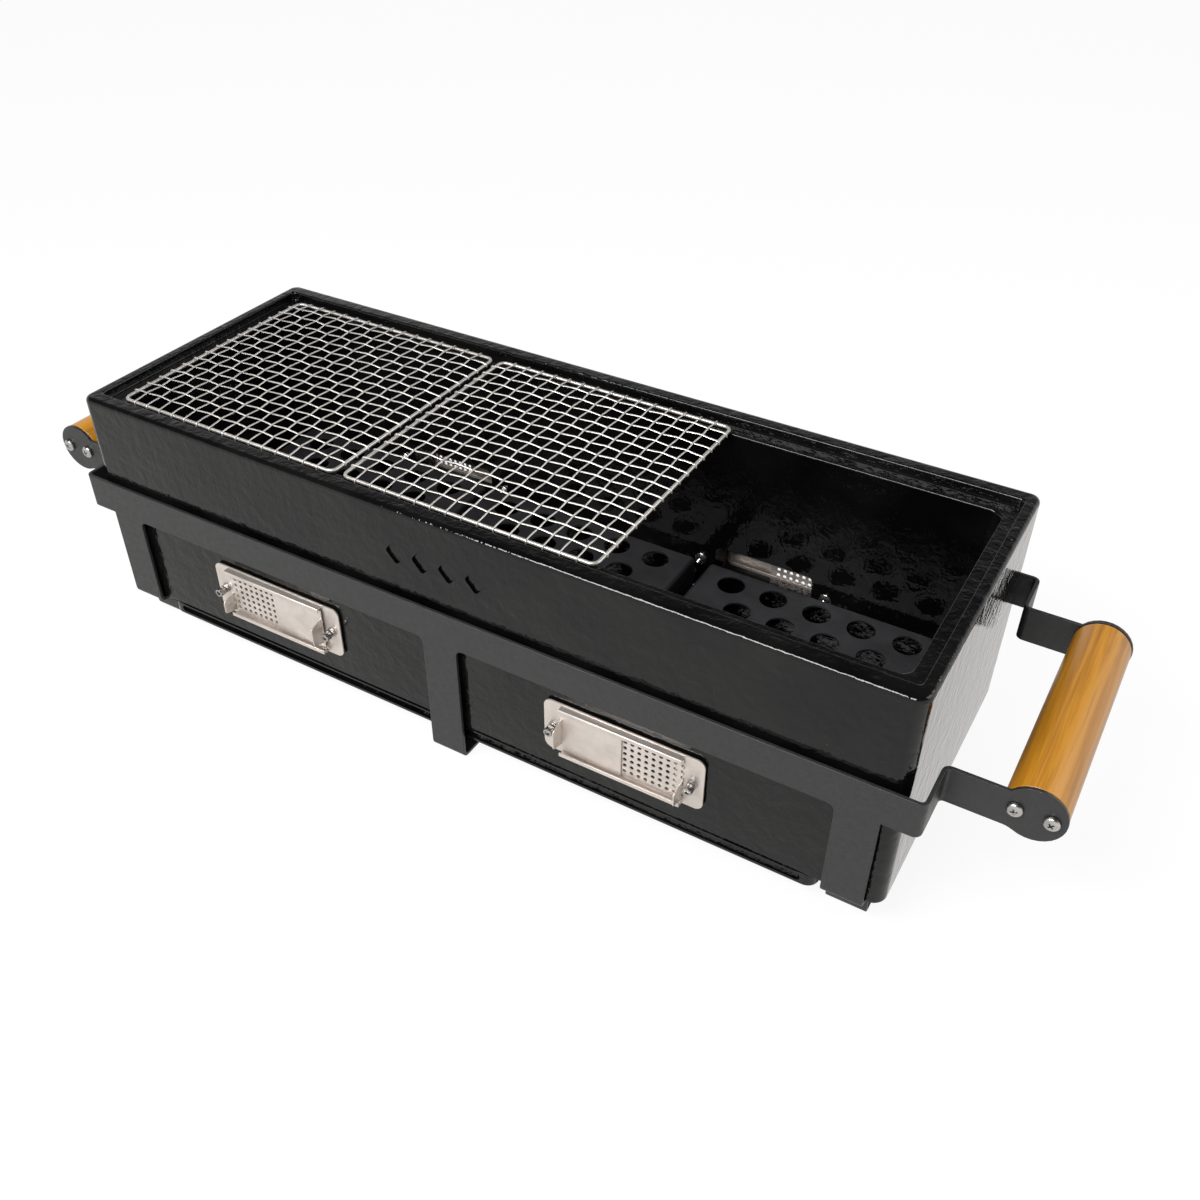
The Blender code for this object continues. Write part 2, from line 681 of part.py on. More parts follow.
def build_grate(tag, cx):
    hx = grate_length / 2.0 - border_rod
    hy = grate_width / 2.0 - border_rod
    base = ledge_z + gap + border_rod
    path = rounded_rect(hx, hy, 6.0, 4, cx, grate_y)
    loops = []
    n = len(path)
    for i, p in enumerate(path):
        ahead = Vector(path[(i + 1) % n]) - Vector(path[i - 1])
        out = Vector((ahead.y, -ahead.x)).normalized()
        loop = []
        for k in range(8):
            a = math.radians(45.0 * k + 22.5)
            side = out * border_rod * math.cos(a)
            loop.append((p[0] + side.x, p[1] + side.y, base + border_rod * math.sin(a)))
        loops.append(loop)
    verts = [q for loop in loops for q in loop]
    faces = []
    for i in range(n):
        j = (i + 1) % n
        for k in range(8):
            m = (k + 1) % 8
            faces.append((i * 8 + k, i * 8 + m, j * 8 + m, j * 8 + k))
    lower = add_object("grate_" + tag + "_lower", [(verts, faces)], stainless)
    along = []
    across = []
    z_along = base + border_rod + 0.4
    z_across = z_along + 2.0 * mesh_wire + gap
    step_x = 2.0 * hx / mesh_cells
    step_y = 2.0 * hy / mesh_cells
    front = grate_y - hy
    rear = grate_y + hy
    for i in range(1, mesh_cells):
        rod = circle(front + step_y * i, z_along, mesh_wire, 6)
        along.append(prism(rod, cx - hx - wire_overhang_x, cx + hx + wire_overhang_x, "x"))
        rod = circle(cx - hx + step_x * i, z_across, mesh_wire, 6)
        across.append(prism(rod, front - wire_overhang_y, rear + wire_overhang_y, "y"))
    combine(lower, along, "UNION")
    rod = circle(front, z_across, top_rod, 8)
    end_rod = prism(rod, cx - hx + 2.0, cx + hx - 2.0, "x")
    upper = add_object("grate_" + tag + "_upper", [end_rod], stainless)
    combine(upper, across, "UNION")
    rod = circle(rear, z_across, top_rod, 8)
    combine(upper, [prism(rod, cx - hx + 2.0, cx + hx - 2.0, "x")], "UNION")


def shade(degrees):
    """Smooth shading that keeps edges sharper than the angle."""
    for ob in bpy.context.scene.objects:
        ob.data.shade_smooth()
        ob.data.set_sharp_from_angle(angle=math.radians(degrees))


def set_origin(name, place_mm):
    """Move an object's origin without moving its geometry."""
    ob = bpy.data.objects[name]
    point = Vector(place_mm) * MM
    ob.data.transform(Matrix.Translation(-point))
    ob.location = point


clear_scene()
build_body()
build_carrier("frame_front", -1.0)
build_carrier("frame_rear", 1.0)
build_straps()
build_handles()
for vent in vents:
    build_vent(*vent)
for tag, cx in coal_plates:
    build_coal_plate(tag, cx)
for tag, cx in grates:
    build_grate(tag, cx)
for tag, cx, cz, side, perf in vents:
    level = half_y + vent_plate_near + vent_plate_thick + 2.0 * slide_gap + 1.5 * panel_thick
    set_origin("vent_" + tag + "_shutter", (cx - perf * channel_length / 4.0, side * level, cz))
for tag, cx in coal_plates:
    set_origin("coal_plate_" + tag, (cx, 0.0, coal_top))
for tag, cx in grates:
    for layer in ("lower", "upper"):
        set_origin("grate_" + tag + "_" + layer, (cx, grate_y, ledge_z))
shade(35.0)
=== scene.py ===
import math

import bmesh
import bpy
from mathutils import Matrix, Vector


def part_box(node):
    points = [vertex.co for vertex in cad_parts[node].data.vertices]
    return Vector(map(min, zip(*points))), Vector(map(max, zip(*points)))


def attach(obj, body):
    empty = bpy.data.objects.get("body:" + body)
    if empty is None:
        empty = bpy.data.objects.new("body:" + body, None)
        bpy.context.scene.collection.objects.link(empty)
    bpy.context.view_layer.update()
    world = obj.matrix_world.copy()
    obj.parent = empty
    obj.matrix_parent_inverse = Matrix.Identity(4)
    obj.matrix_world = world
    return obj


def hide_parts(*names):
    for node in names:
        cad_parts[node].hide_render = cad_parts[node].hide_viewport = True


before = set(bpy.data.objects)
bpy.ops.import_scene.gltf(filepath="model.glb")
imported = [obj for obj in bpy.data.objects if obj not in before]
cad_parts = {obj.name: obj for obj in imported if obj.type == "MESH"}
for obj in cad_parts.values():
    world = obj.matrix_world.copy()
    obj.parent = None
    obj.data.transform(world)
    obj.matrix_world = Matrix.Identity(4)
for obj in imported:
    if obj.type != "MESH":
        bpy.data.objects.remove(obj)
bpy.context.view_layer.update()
rootBody = "firebox_and_carrier"
ventTags = ("fl", "fr", "rl", "rr")
print("frame loaded:", len(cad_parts), "nodes")


def deselect():
    if bpy.context.object and bpy.context.object.mode != "OBJECT":
        bpy.ops.object.mode_set(mode="OBJECT")
    bpy.ops.object.select_all(action="DESELECT")


def activate(piece):
    deselect()
    piece.select_set(True)
    bpy.context.view_layer.objects.active = piece


def startEdit(piece):
    activate(piece)
    bpy.ops.object.mode_set(mode="EDIT")


def stopEdit():
    bpy.ops.object.mode_set(mode="OBJECT")


def pickFaces(piece, test):
    bpy.ops.mesh.select_mode(type="FACE")
    bpy.ops.mesh.select_all(action="DESELECT")
    mesh = bmesh.from_edit_mesh(piece.data)
    mesh.normal_update()
    for face in mesh.faces:
        if test(face.calc_center_median(), face.normal):
            face.select_set(True)
    bmesh.update_edit_mesh(piece.data)


def pickEdges(piece, test):
    bpy.ops.mesh.select_mode(type="EDGE")
    bpy.ops.mesh.select_all(action="DESELECT")
    mesh = bmesh.from_edit_mesh(piece.data)
    mesh.normal_update()
    for edge in mesh.edges:
        if test(edge.verts[0].co, edge.verts[1].co, [face.normal for face in edge.link_faces]):
            edge.select_set(True)
    bmesh.update_edit_mesh(piece.data)


def bevelPicked(width, segments):
    bpy.ops.mesh.bevel(offset=width, segments=segments, affect="EDGES", clamp_overlap=False)


def extrudeBy(x, y, z):
    bpy.ops.mesh.extrude_region_move(TRANSFORM_OT_translate={"value": (x, y, z)})


def scaleBy(x, y, z, centre=(0, 0, 0)):
    bpy.ops.transform.resize(value=(x, y, z), center_override=centre)


def applyModifier(piece, kind, **values):
    activate(piece)
    modifier = piece.modifiers.new("step", kind)
    for key, value in values.items():
        setattr(modifier, key, value)
    bpy.ops.object.modifier_apply(modifier=modifier.name)


def breakEdges(piece, width):
    applyModifier(piece, "BEVEL", width=width, segments=2, limit_method="ANGLE", angle_limit=math.radians(50))


def repeat(piece, count, step):
    applyModifier(piece, "ARRAY", count=count, use_relative_offset=False, use_constant_offset=True,
                  constant_offset_displace=step)


def applyPlace(piece):
    activate(piece)
    bpy.ops.object.transform_apply(location=True, rotation=True, scale=True)


def tidyMesh(piece):
    startEdit(piece)
    bpy.ops.mesh.select_all(action="SELECT")
    bpy.ops.mesh.remove_doubles(threshold=0.000005)
    bpy.ops.mesh.normals_make_consistent(inside=False)
    stopEdit()


def smooth(piece, degrees=35.0):
    activate(piece)
    bpy.ops.object.shade_smooth_by_angle(angle=math.radians(degrees))


def evenNormals(piece):
    applyModifier(piece, "WEIGHTED_NORMAL", keep_sharp=True, weight=100)


def joinInto(piece, others):
    activate(piece)
    for other in others:
        other.select_set(True)
    bpy.ops.object.join()
    return piece


def boolean(piece, tool, operation="DIFFERENCE"):
    applyModifier(piece, "BOOLEAN", operation=operation, solver="EXACT", object=tool)
    bpy.data.objects.remove(tool, do_unlink=True)


def addBox(name, low, high):
    deselect()
    low, high = Vector(low), Vector(high)
    bpy.ops.mesh.primitive_cube_add(size=1, location=(low + high) / 2, scale=high - low)
    piece = bpy.context.object
    piece.name = name
    applyPlace(piece)
    return piece


def addCylinder(name, radius, depth, centre, turn, sides):
    deselect()
    bpy.ops.mesh.primitive_cylinder_add(vertices=sides, radius=radius, depth=depth, location=centre,
                                        rotation=turn)
    piece = bpy.context.object
    piece.name = name
    applyPlace(piece)
    return piece


def turned(name, profile, sides):
    # a lathe by extrusion: the profile is (height, radius) from bottom to top, along Z
    deselect()
    bpy.ops.mesh.primitive_circle_add(vertices=sides, radius=profile[0][1], fill_type="NGON")
    piece = bpy.context.object
    piece.name = name
    startEdit(piece)
    bpy.ops.mesh.select_all(action="SELECT")
    bpy.ops.transform.translate(value=(0, 0, profile[0][0]))
    for (low, before), (high, after) in zip(profile, profile[1:]):
        extrudeBy(0, 0, high - low)
        scaleBy(after / before, after / before, 1)
    bpy.ops.mesh.select_all(action="SELECT")
    bpy.ops.mesh.normals_make_consistent(inside=False)
    stopEdit()
    return piece


def copyPiece(source, name, place, turn=(0, 0, 0)):
    piece = bpy.data.objects.new(name, source.data.copy())
    bpy.context.scene.collection.objects.link(piece)
    piece.location = place
    piece.rotation_euler = turn
    applyPlace(piece)
    return piece


def copyNode(node, name, edge, segments=2, flat=0.6):
    # the CAD shape, welded, with its flat facets joined and its edges broken by a small round
    piece = bpy.data.objects.new(name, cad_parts[node].data.copy())
    bpy.context.scene.collection.objects.link(piece)
    piece.data.materials.clear()
    startEdit(piece)
    bpy.ops.mesh.select_all(action="SELECT")
    bpy.ops.mesh.remove_doubles(threshold=0.000005)
    bpy.ops.mesh.dissolve_limited(angle_limit=math.radians(flat))
    stopEdit()
    applyModifier(piece, "BEVEL", width=edge, segments=segments, limit_method="ANGLE",
                  angle_limit=math.radians(40), use_clamp_overlap=True)
    smooth(piece)
    evenNormals(piece)
    return piece


def finishPiece(piece, body, material, slotName, *nodes):
    piece.data.materials.clear()
    piece.data.materials.append(material)
    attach(piece, body)
    if nodes:
        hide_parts(*nodes)


def addNode(tree, kind, place, **settings):
    node = tree.nodes.new(kind)
    node.location = place
    for key, value in settings.items():
        setattr(node, key, value)
    return node


def makeGroup(name, inputs, outputs):
    group = bpy.data.node_groups.new(name, "ShaderNodeTree")
    for label, kind, value in inputs:
        socket = group.interface.new_socket(name=label, in_out="INPUT", socket_type=kind)
        socket.default_value = value
    for label, kind in outputs:
        group.interface.new_socket(name=label, in_out="OUTPUT", socket_type=kind)
    start = addNode(group, "NodeGroupInput", (-900, 0))
    end = addNode(group, "NodeGroupOutput", (600, 0))
    return group, start, end


def makeGrainGroup():
    # noise stretched by its own factor along each axis, with a softer, larger cloud beside it
    group, start, end = makeGroup(
        "stretchedGrain",
        [("Stretch", "NodeSocketVector", (100, 100, 100)), ("Detail", "NodeSocketFloat", 3.0),
         ("Distortion", "NodeSocketFloat", 0.0)],
        [("Grain", "NodeSocketFloat"), ("Cloud", "NodeSocketFloat")])
    place = addNode(group, "ShaderNodeTexCoord", (-900, 250))
    stretch = addNode(group, "ShaderNodeVectorMath", (-650, 150), operation="MULTIPLY")
    fine = addNode(group, "ShaderNodeTexNoise", (-350, 150))
    fine.inputs["Scale"].default_value = 1.0
    fine.inputs["Roughness"].default_value = 0.6
    coarse = addNode(group, "ShaderNodeTexNoise", (-350, -200))
    coarse.inputs["Scale"].default_value = 0.16
    coarse.inputs["Detail"].default_value = 2.0
    group.links.new(place.outputs["Object"], stretch.inputs[0])
    group.links.new(start.outputs["Stretch"], stretch.inputs[1])
    for noise in (fine, coarse):
        group.links.new(stretch.outputs["Vector"], noise.inputs["Vector"])
        group.links.new(start.outputs["Distortion"], noise.inputs["Distortion"])
    group.links.new(start.outputs["Detail"], fine.inputs["Detail"])
    group.links.new(fine.outputs["Fac"], end.inputs["Grain"])
    group.links.new(coarse.outputs["Fac"], end.inputs["Cloud"])
    return group


def makeSpeckGroup():
    # a mask of small scattered round spots
    group, start, end = makeGroup(
        "scatteredSpecks",
        [("Density", "NodeSocketFloat", 200.0), ("Size", "NodeSocketFloat", 0.12)],
        [("Mask", "NodeSocketFloat")])
    place = addNode(group, "ShaderNodeTexCoord", (-900, 250))
    cells = addNode(group, "ShaderNodeTexVoronoi", (-600, 100))
    chosen = addNode(group, "ShaderNodeMath", (-350, -100), operation="GREATER_THAN")
    chosen.inputs[1].default_value = 0.72
    near = addNode(group, "ShaderNodeMapRange", (-300, 150), interpolation_type="SMOOTHSTEP")
    near.inputs["To Min"].default_value = 1.0
    near.inputs["To Max"].default_value = 0.0
    both = addNode(group, "ShaderNodeMath", (50, 100), operation="MULTIPLY")
    split = addNode(group, "ShaderNodeSeparateColor", (-600, -200))
    group.links.new(place.outputs["Object"], cells.inputs["Vector"])
    group.links.new(start.outputs["Density"], cells.inputs["Scale"])
    group.links.new(cells.outputs["Color"], split.inputs["Color"])
    group.links.new(split.outputs["Red"], chosen.inputs[0])
    group.links.new(cells.outputs["Distance"], near.inputs["Value"])
    group.links.new(start.outputs["Size"], near.inputs["From Max"])
    group.links.new(near.outputs["Result"], both.inputs[0])
    group.links.new(chosen.outputs["Value"], both.inputs[1])
    group.links.new(both.outputs["Value"], end.inputs["Mask"])
    return group


grainGroup = makeGrainGroup()
speckGroup = makeSpeckGroup()


def newMaterial(name, **sockets):
    material = bpy.data.materials.new(name)
    material.use_nodes = True
    shader = material.node_tree.nodes["Principled BSDF"]
    for key, value in sockets.items():
        shader.inputs[key.replace("_", " ")].default_value = value
    return material, material.node_tree, shader


def addGrain(tree, place, stretch, detail=3.0, distortion=0.0):
    node = addNode(tree, "ShaderNodeGroup", place, node_tree=grainGroup)
    node.inputs["Stretch"].default_value = stretch
    node.inputs["Detail"].default_value = detail
    node.inputs["Distortion"].default_value = distortion
    return node


def addSpecks(tree, place, density, size):
    node = addNode(tree, "ShaderNodeGroup", place, node_tree=speckGroup)
    node.inputs["Density"].default_value = density
    node.inputs["Size"].default_value = size
    return node


def addRange(tree, place, source, low, high, fromLow=0.3, fromHigh=0.7):
    node = addNode(tree, "ShaderNodeMapRange", place)
    node.inputs["From Min"].default_value = fromLow
    node.inputs["From Max"].default_value = fromHigh
    node.inputs["To Min"].default_value = low
    node.inputs["To Max"].default_value = high
    tree.links.new(source, node.inputs["Value"])
    return node.outputs["Result"]


def addRamp(tree, place, source, stops):
    node = addNode(tree, "ShaderNodeValToRGB", place)
    ramp = node.color_ramp
    while len(ramp.elements) < len(stops):
        ramp.elements.new(0.5)
    for element, (position, colour) in zip(ramp.elements, stops):
        element.position = position
        element.color = (*colour, 1.0)
    tree.links.new(source, node.inputs["Fac"])
    return node.outputs["Color"]


def addSum(tree, place, first, second, share):
    # first + share * second
    node = addNode(tree, "ShaderNodeMath", place, operation="MULTIPLY_ADD")
    node.inputs[1].default_value = share
    tree.links.new(second, node.inputs[0])
    tree.links.new(first, node.inputs[2])
    return node.outputs["Value"]


def dress(tree, shader, colour, rough, height, depth):
    bump = addNode(tree, "ShaderNodeBump", (100, -300))
    bump.inputs["Distance"].default_value = depth
    tree.links.new(height, bump.inputs["Height"])
    tree.links.new(colour, shader.inputs["Base Color"])
    tree.links.new(rough, shader.inputs["Roughness"])
    tree.links.new(bump.outputs["Normal"], shader.inputs["Normal"])


def makeGlaze():
    material, tree, shader = newMaterial("blackGlaze", IOR=1.4)
    ripple = addGrain(tree, (-900, 200), (420, 420, 26), 2.0)       # runs in the glaze, down the walls
    peel = addGrain(tree, (-900, -100), (90, 90, 90), 2.5, 0.3)     # hammered orange peel
    pins = addSpecks(tree, (-900, -400), 60, 0.05)                  # pinholes
    colour = addRamp(tree, (-500, 300), peel.outputs["Cloud"],
                     [(0.35, (0.0016, 0.0016, 0.0018)), (0.65, (0.0042, 0.0042, 0.004))])
    rough = addRange(tree, (-500, 50), ripple.outputs["Cloud"], 0.02, 0.06)
    height = addSum(tree, (-500, -150), peel.outputs["Grain"], ripple.outputs["Grain"], 0.16)
    height = addSum(tree, (-300, -200), height, pins.outputs["Mask"], -1.2)
    dress(tree, shader, colour, rough, height, 0.0007)
    return material


def makePowderCoat():
    material, tree, shader = newMaterial("powderCoat", IOR=1.5)
    grain = addGrain(tree, (-900, 200), (1100, 1100, 1100), 2.0)
    specks = addSpecks(tree, (-900, -200), 900, 0.3)
    colour = addRamp(tree, (-500, 300), grain.outputs["Grain"],
                     [(0.3, (0.009, 0.0092, 0.0094)), (0.7, (0.023, 0.0232, 0.0234))])
    rough = addRange(tree, (-500, 50), grain.outputs["Cloud"], 0.38, 0.52)
    height = addSum(tree, (-500, -150), grain.outputs["Grain"], specks.outputs["Mask"], 0.5)
    dress(tree, shader, colour, rough, height, 0.00014)
    return material


def makeVentSteel():
    material, tree, shader = newMaterial("brushedStainless", Metallic=0.8)
    lines = addGrain(tree, (-900, 200), (30, 1400, 1400), 4.0)
    stains = addGrain(tree, (-900, -100), (60, 60, 60), 3.0, 0.6)
    colour = addRamp(tree, (-500, 300), stains.outputs["Grain"],
                     [(0.3, (0.6, 0.545, 0.5)), (0.7, (0.71, 0.65, 0.605))])
    streaks = addSum(tree, (-500, 50), lines.outputs["Grain"], stains.outputs["Cloud"], 0.5)
    rough = addRange(tree, (-300, 50), streaks, 0.32, 0.5, 0.5, 1.0)
    dress(tree, shader, colour, rough, lines.outputs["Grain"], 0.00002)
    return material


def makeFastenerSteel():
    material, tree, shader = newMaterial("brightStainless", Metallic=1.0)
    marks = addGrain(tree, (-900, 200), (420, 420, 1500), 3.0)
    colour = addRamp(tree, (-500, 300), marks.outputs["Cloud"],
                     [(0.3, (0.4, 0.39, 0.375)), (0.7, (0.56, 0.548, 0.53))])
    rough = addRange(tree, (-500, 50), marks.outputs["Grain"], 0.2, 0.34)
    dress(tree, shader, colour, rough, marks.outputs["Grain"], 0.00001)
    return material


def makeGrateWire():
    material, tree, shader = newMaterial("drawnWire", Metallic=0.85)
    marks = addGrain(tree, (-900, 200), (500, 500, 500), 3.0)
    colour = addRamp(tree, (-500, 300), marks.outputs["Cloud"],
                     [(0.3, (0.6, 0.575, 0.54)), (0.7, (0.78, 0.75, 0.71))])
    rough = addRange(tree, (-500, 50), marks.outputs["Grain"], 0.36, 0.52)
    dress(tree, shader, colour, rough, marks.outputs["Grain"], 0.00002)
    return material


def makeCoalSteel():
    material, tree, shader = newMaterial("coalSteel", IOR=1.5)
    grain = addGrain(tree, (-900, 200), (700, 700, 700), 3.0)
    scale = addGrain(tree, (-900, -100), (25, 25, 25), 4.0, 0.8)    # heat scale, in soft patches
    specks = addSpecks(tree, (-900, -400), 320, 0.16)
    colour = addRamp(tree, (-500, 300), scale.outputs["Grain"],
                     [(0.3, (0.011, 0.0112, 0.0125)), (0.7, (0.022, 0.0225, 0.0245))])
    rough = addRange(tree, (-500, 50), scale.outputs["Cloud"], 0.34, 0.5)
    height = addSum(tree, (-500, -150), grain.outputs["Grain"], specks.outputs["Mask"], 0.8)
    dress(tree, shader, colour, rough, height, 0.0002)
    return material


def makeWood():
    material, tree, shader = newMaterial("honeyWood", Coat_Weight=0.12, Coat_Roughness=0.2)
    figure = addGrain(tree, (-1100, 300), (150, 6, 150), 3.0, 0.5)  # long figure
    fibres = addGrain(tree, (-1100, 0), (900, 26, 900), 3.0)        # fine fibres and pores
    mix = addSum(tree, (-750, 200), figure.outputs["Grain"], fibres.outputs["Grain"], 0.32)
    mix = addSum(tree, (-600, 150), mix, figure.outputs["Cloud"], 0.5)
    colour = addRamp(tree, (-400, 300), mix,
                     [(0.6, (0.24, 0.09, 0.005)), (0.78, (0.33, 0.13, 0.006)), (0.9, (0.385, 0.16, 0.008)),
                      (1.0, (0.45, 0.195, 0.011))])
    rough = addRange(tree, (-400, 0), fibres.outputs["Grain"], 0.3, 0.44)
    dress(tree, shader, colour, rough, fibres.outputs["Grain"], 0.00003)
    return material


glaze = makeGlaze()
powderCoat = makePowderCoat()
ventSteel = makeVentSteel()
fastenerSteel = makeFastenerSteel()
grateWire = makeGrateWire()
coalSteel = makeCoalSteel()
wood = makeWood()
print("materials made")


firebox = {
    "rimSide": 0.0145, "rimEnd": 0.010, "ledgeDepth": 0.008, "ledgeSide": 0.0135, "ledgeEnd": 0.011,
    "floor": 0.052, "base": 0.031, "plinthLength": 0.642, "plinthInset": 0.001,
    "cornerRound": 0.010, "rimCorner": 0.0046, "cavityCorner": 0.011, "rimRound": 0.004,
    "mouthRound": 0.0018, "creaseRound": 0.0012, "lipRound": 0.0018, "floorRound": 0.008,
    "baseRound": 0.002, "plinthRound": 0.0015,
    "slotLength": 0.092, "slotHeight": 0.036, "slotCorner": 0.006, "bore": 0.0026,
    "grooveHeight": 0.0065, "grooveDeep": 0.004, "grooveEnd": 0.012,
    "markWidth": 0.018, "markHeight": 0.021, "markPitch": 0.0245, "markFirst": -0.041, "markLevel": 0.187,
    "markDeep": 0.0020, "markStroke": 0.0045, "markCorner": 0.0025, "markRound": 0.0015,
}


def ventCentre(tag):
    # the middle between its two screws
    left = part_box("vent_%s_screw_left" % tag)
    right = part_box("vent_%s_screw_right" % tag)
    middle = (left[0] + left[1] + right[0] + right[1]) / 4
    return middle.x, middle.z, (-1 if middle.y < 0 else 1)


def boreXs(tag):
    boxes = [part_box("vent_%s_screw_%s" % (tag, side)) for side in ("left", "right")]
    return [(low.x + high.x) / 2 for low, high in boxes]


def makeFirebox():
    s = firebox
    low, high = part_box("body")
    halfX = high.x
    halfY = high.y
    top = high.z
    piece = addBox("firebox", (-halfX, -halfY, s["base"]), (halfX, halfY, top))
    rimX, rimY = halfX - s["rimEnd"], halfY - s["rimSide"]
    caveX, caveY = rimX - s["ledgeEnd"], rimY - s["ledgeSide"]
    ledge = top - s["ledgeDepth"]
    plinthX, plinthY = s["plinthLength"] / 2, halfY - s["plinthInset"]
    startEdit(piece)
    # mouth, ledge and cavity
    pickFaces(piece, lambda c, n: n.z > 0.9)
    bpy.ops.mesh.inset(thickness=s["rimEnd"])
    scaleBy(1, rimY / (halfY - s["rimEnd"]), 1)
    extrudeBy(0, 0, -s["ledgeDepth"])
    bpy.ops.mesh.inset(thickness=s["ledgeEnd"])
    scaleBy(1, caveY / (rimY - s["ledgeEnd"]), 1)
    extrudeBy(0, 0, s["floor"] - ledge)
    # plinth
    pickFaces(piece, lambda c, n: n.z < -0.9)
    bpy.ops.mesh.inset(thickness=s["plinthInset"])
    scaleBy(plinthX / (halfX - s["plinthInset"]), 1, 1)
    extrudeBy(0, 0, low.z - s["base"])
    # upright corners
    for x, y, width in ((halfX, halfY, s["cornerRound"]), (rimX, rimY, s["rimCorner"]),
                        (caveX, caveY, s["cavityCorner"]), (plinthX, plinthY, s["cornerRound"])):
        pickEdges(piece, lambda a, b, n: abs(a.z - b.z) > 0.001 and abs(a.x - b.x) < 0.0001
                  and abs(a.y - b.y) < 0.0001 and abs(abs(a.x) - x) < 0.0005 and abs(abs(a.y) - y) < 0.0005)
        bevelPicked(width, 8)

    def level(z, outward, wall):
        # edges at a height, between a level face and a wall that faces outwards or inwards
        def test(a, b, normals):
            if abs(a.z - z) > 0.0001 or abs(b.z - z) > 0.0001 or len(normals) != 2:
                return False
            walls = [n for n in normals if abs(n.z) < 0.1]
            if len(walls) != 1:
                return False
            middle = (a + b) / 2
            side = walls[0].x * middle.x + walls[0].y * middle.y
            near = abs(middle.x) > wall[0] - 0.02 or abs(middle.y) > wall[1] - 0.02
            return (side > 0) == outward and near
        return test

    def ledgeEdges(crease):
        # the crease under the rim, or the lip of the cavity
        onLedge = level(ledge, False, (rimX, rimY))

        def test(a, b, normals):
            past = max(abs(a.x) - caveX, abs(a.y) - caveY, abs(b.x) - caveX, abs(b.y) - caveY)
            return onLedge(a, b, normals) and (past > 0.004) == crease
        return test

    rounds = ((level(top, True, (halfX, halfY)), s["rimRound"], 6),
              (level(top, False, (rimX, rimY)), s["mouthRound"], 4),
              (ledgeEdges(True), s["creaseRound"], 3),
              (ledgeEdges(False), s["lipRound"], 4),
              (level(s["floor"], False, (caveX, caveY)), s["floorRound"], 5),
              (level(s["base"], True, (halfX, halfY)), s["baseRound"], 4),
              (level(low.z, True, (plinthX, plinthY)), s["plinthRound"], 3))
    for test, width, segments in rounds:
        pickEdges(piece, test)
        bevelPicked(width, segments)
    stopEdit()

    # air slots, bores and the grooves of the plinth
    cutters = []
    for tag in ventTags:
        x, z, side = ventCentre(tag)
        ys = sorted((side * (caveY - 0.01), side * (halfY + 0.01)))
        slot = addBox("slot", (x - s["slotLength"] / 2, ys[0], z - s["slotHeight"] / 2),
                      (x + s["slotLength"] / 2, ys[1], z + s["slotHeight"] / 2))
        startEdit(slot)
        pickEdges(slot, lambda a, b, n: abs(a.y - b.y) > 0.01)
        bevelPicked(s["slotCorner"], 6)
        stopEdit()
        cutters.append(slot)
        for boreX in boreXs(tag):
            cutters.append(addCylinder("bore", s["bore"], ys[1] - ys[0], (boreX, (ys[0] + ys[1]) / 2, z),
                                       (math.pi / 2, 0, 0), 16))
    middle = (low.z + s["base"]) / 2 - 0.0003
    for side in (-1, 1):
        ys = sorted((side * (plinthY - s["grooveDeep"]), side * (plinthY + 0.01)))
        groove = addBox("groove", (-plinthX + s["grooveEnd"], ys[0], middle - s["grooveHeight"] / 2),
                        (plinthX - s["grooveEnd"], ys[1], middle + s["grooveHeight"] / 2))
        startEdit(groove)
        pickEdges(groove, lambda a, b, n: abs(a.y - b.y) > 0.004)
        bevelPicked(s["grooveHeight"] / 2 - 0.0001, 6)
        stopEdit()
        cutters.append(groove)
    boolean(piece, joinInto(cutters[0], cutters[1:]))

    # four plain raised lozenges on the front
    marks = []
    for i in range(4):
        x = s["markFirst"] + i * s["markPitch"]
        deselect()
        bpy.ops.mesh.primitive_cone_add(vertices=4, radius1=0.62, radius2=0.46, depth=s["markDeep"] + 0.002,
                                        rotation=(math.pi / 2, 0, 0),
                                        location=(x, -halfY + 0.001 - s["markDeep"] / 2, s["markLevel"]))
        mark = bpy.context.object
        mark.scale = (s["markWidth"], s["markHeight"], 1)
        applyPlace(mark)
        startEdit(mark)
        pickEdges(mark, lambda a, b, n: abs(a.y - b.y) > 0.001)
        bevelPicked(s["markCorner"], 5)
        pickFaces(mark, lambda c, n: n.y < -0.9)
        bpy.ops.mesh.inset(thickness=s["markStroke"])
        extrudeBy(0, s["markDeep"] + 0.0005, 0)
        pickEdges(mark, lambda a, b, n: max(a.y, b.y) < -halfY - s["markDeep"] + 0.0001)
        bevelPicked(s["markRound"], 5)
        stopEdit()
        marks.append(mark)
    boolean(piece, joinInto(marks[0], marks[1:]), "UNION")
    smooth(piece, 30)
    evenNormals(piece)
    finishPiece(piece, rootBody, glaze, "ceramic", "body")
    print("firebox made")


carrier = {"edge": 0.0005}


def makeCarrier():
    for node, name in (("frame_front", "carrier_front"), ("frame_rear", "carrier_rear"),
                       ("strap_left", "table_strap_left"), ("strap_centre", "table_strap_centre"),
                       ("strap_right", "table_strap_right")):
        piece = copyNode(node, name, carrier["edge"])
        finishPiece(piece, rootBody, powderCoat, "coated_steel", node)
    print("carrier made")


grip = {"sides": 72, "endRound": 0.0012, "bore": 0.003}
panScrew = {"head": 0.0057, "height": 0.0036, "under": 0.0004, "brim": 0.0011, "shank": 0.0025,
            "length": 0.0254, "point": 0.003, "recess": 0.0060, "recessWidth": 0.0014, "recessDeep": 0.0022}


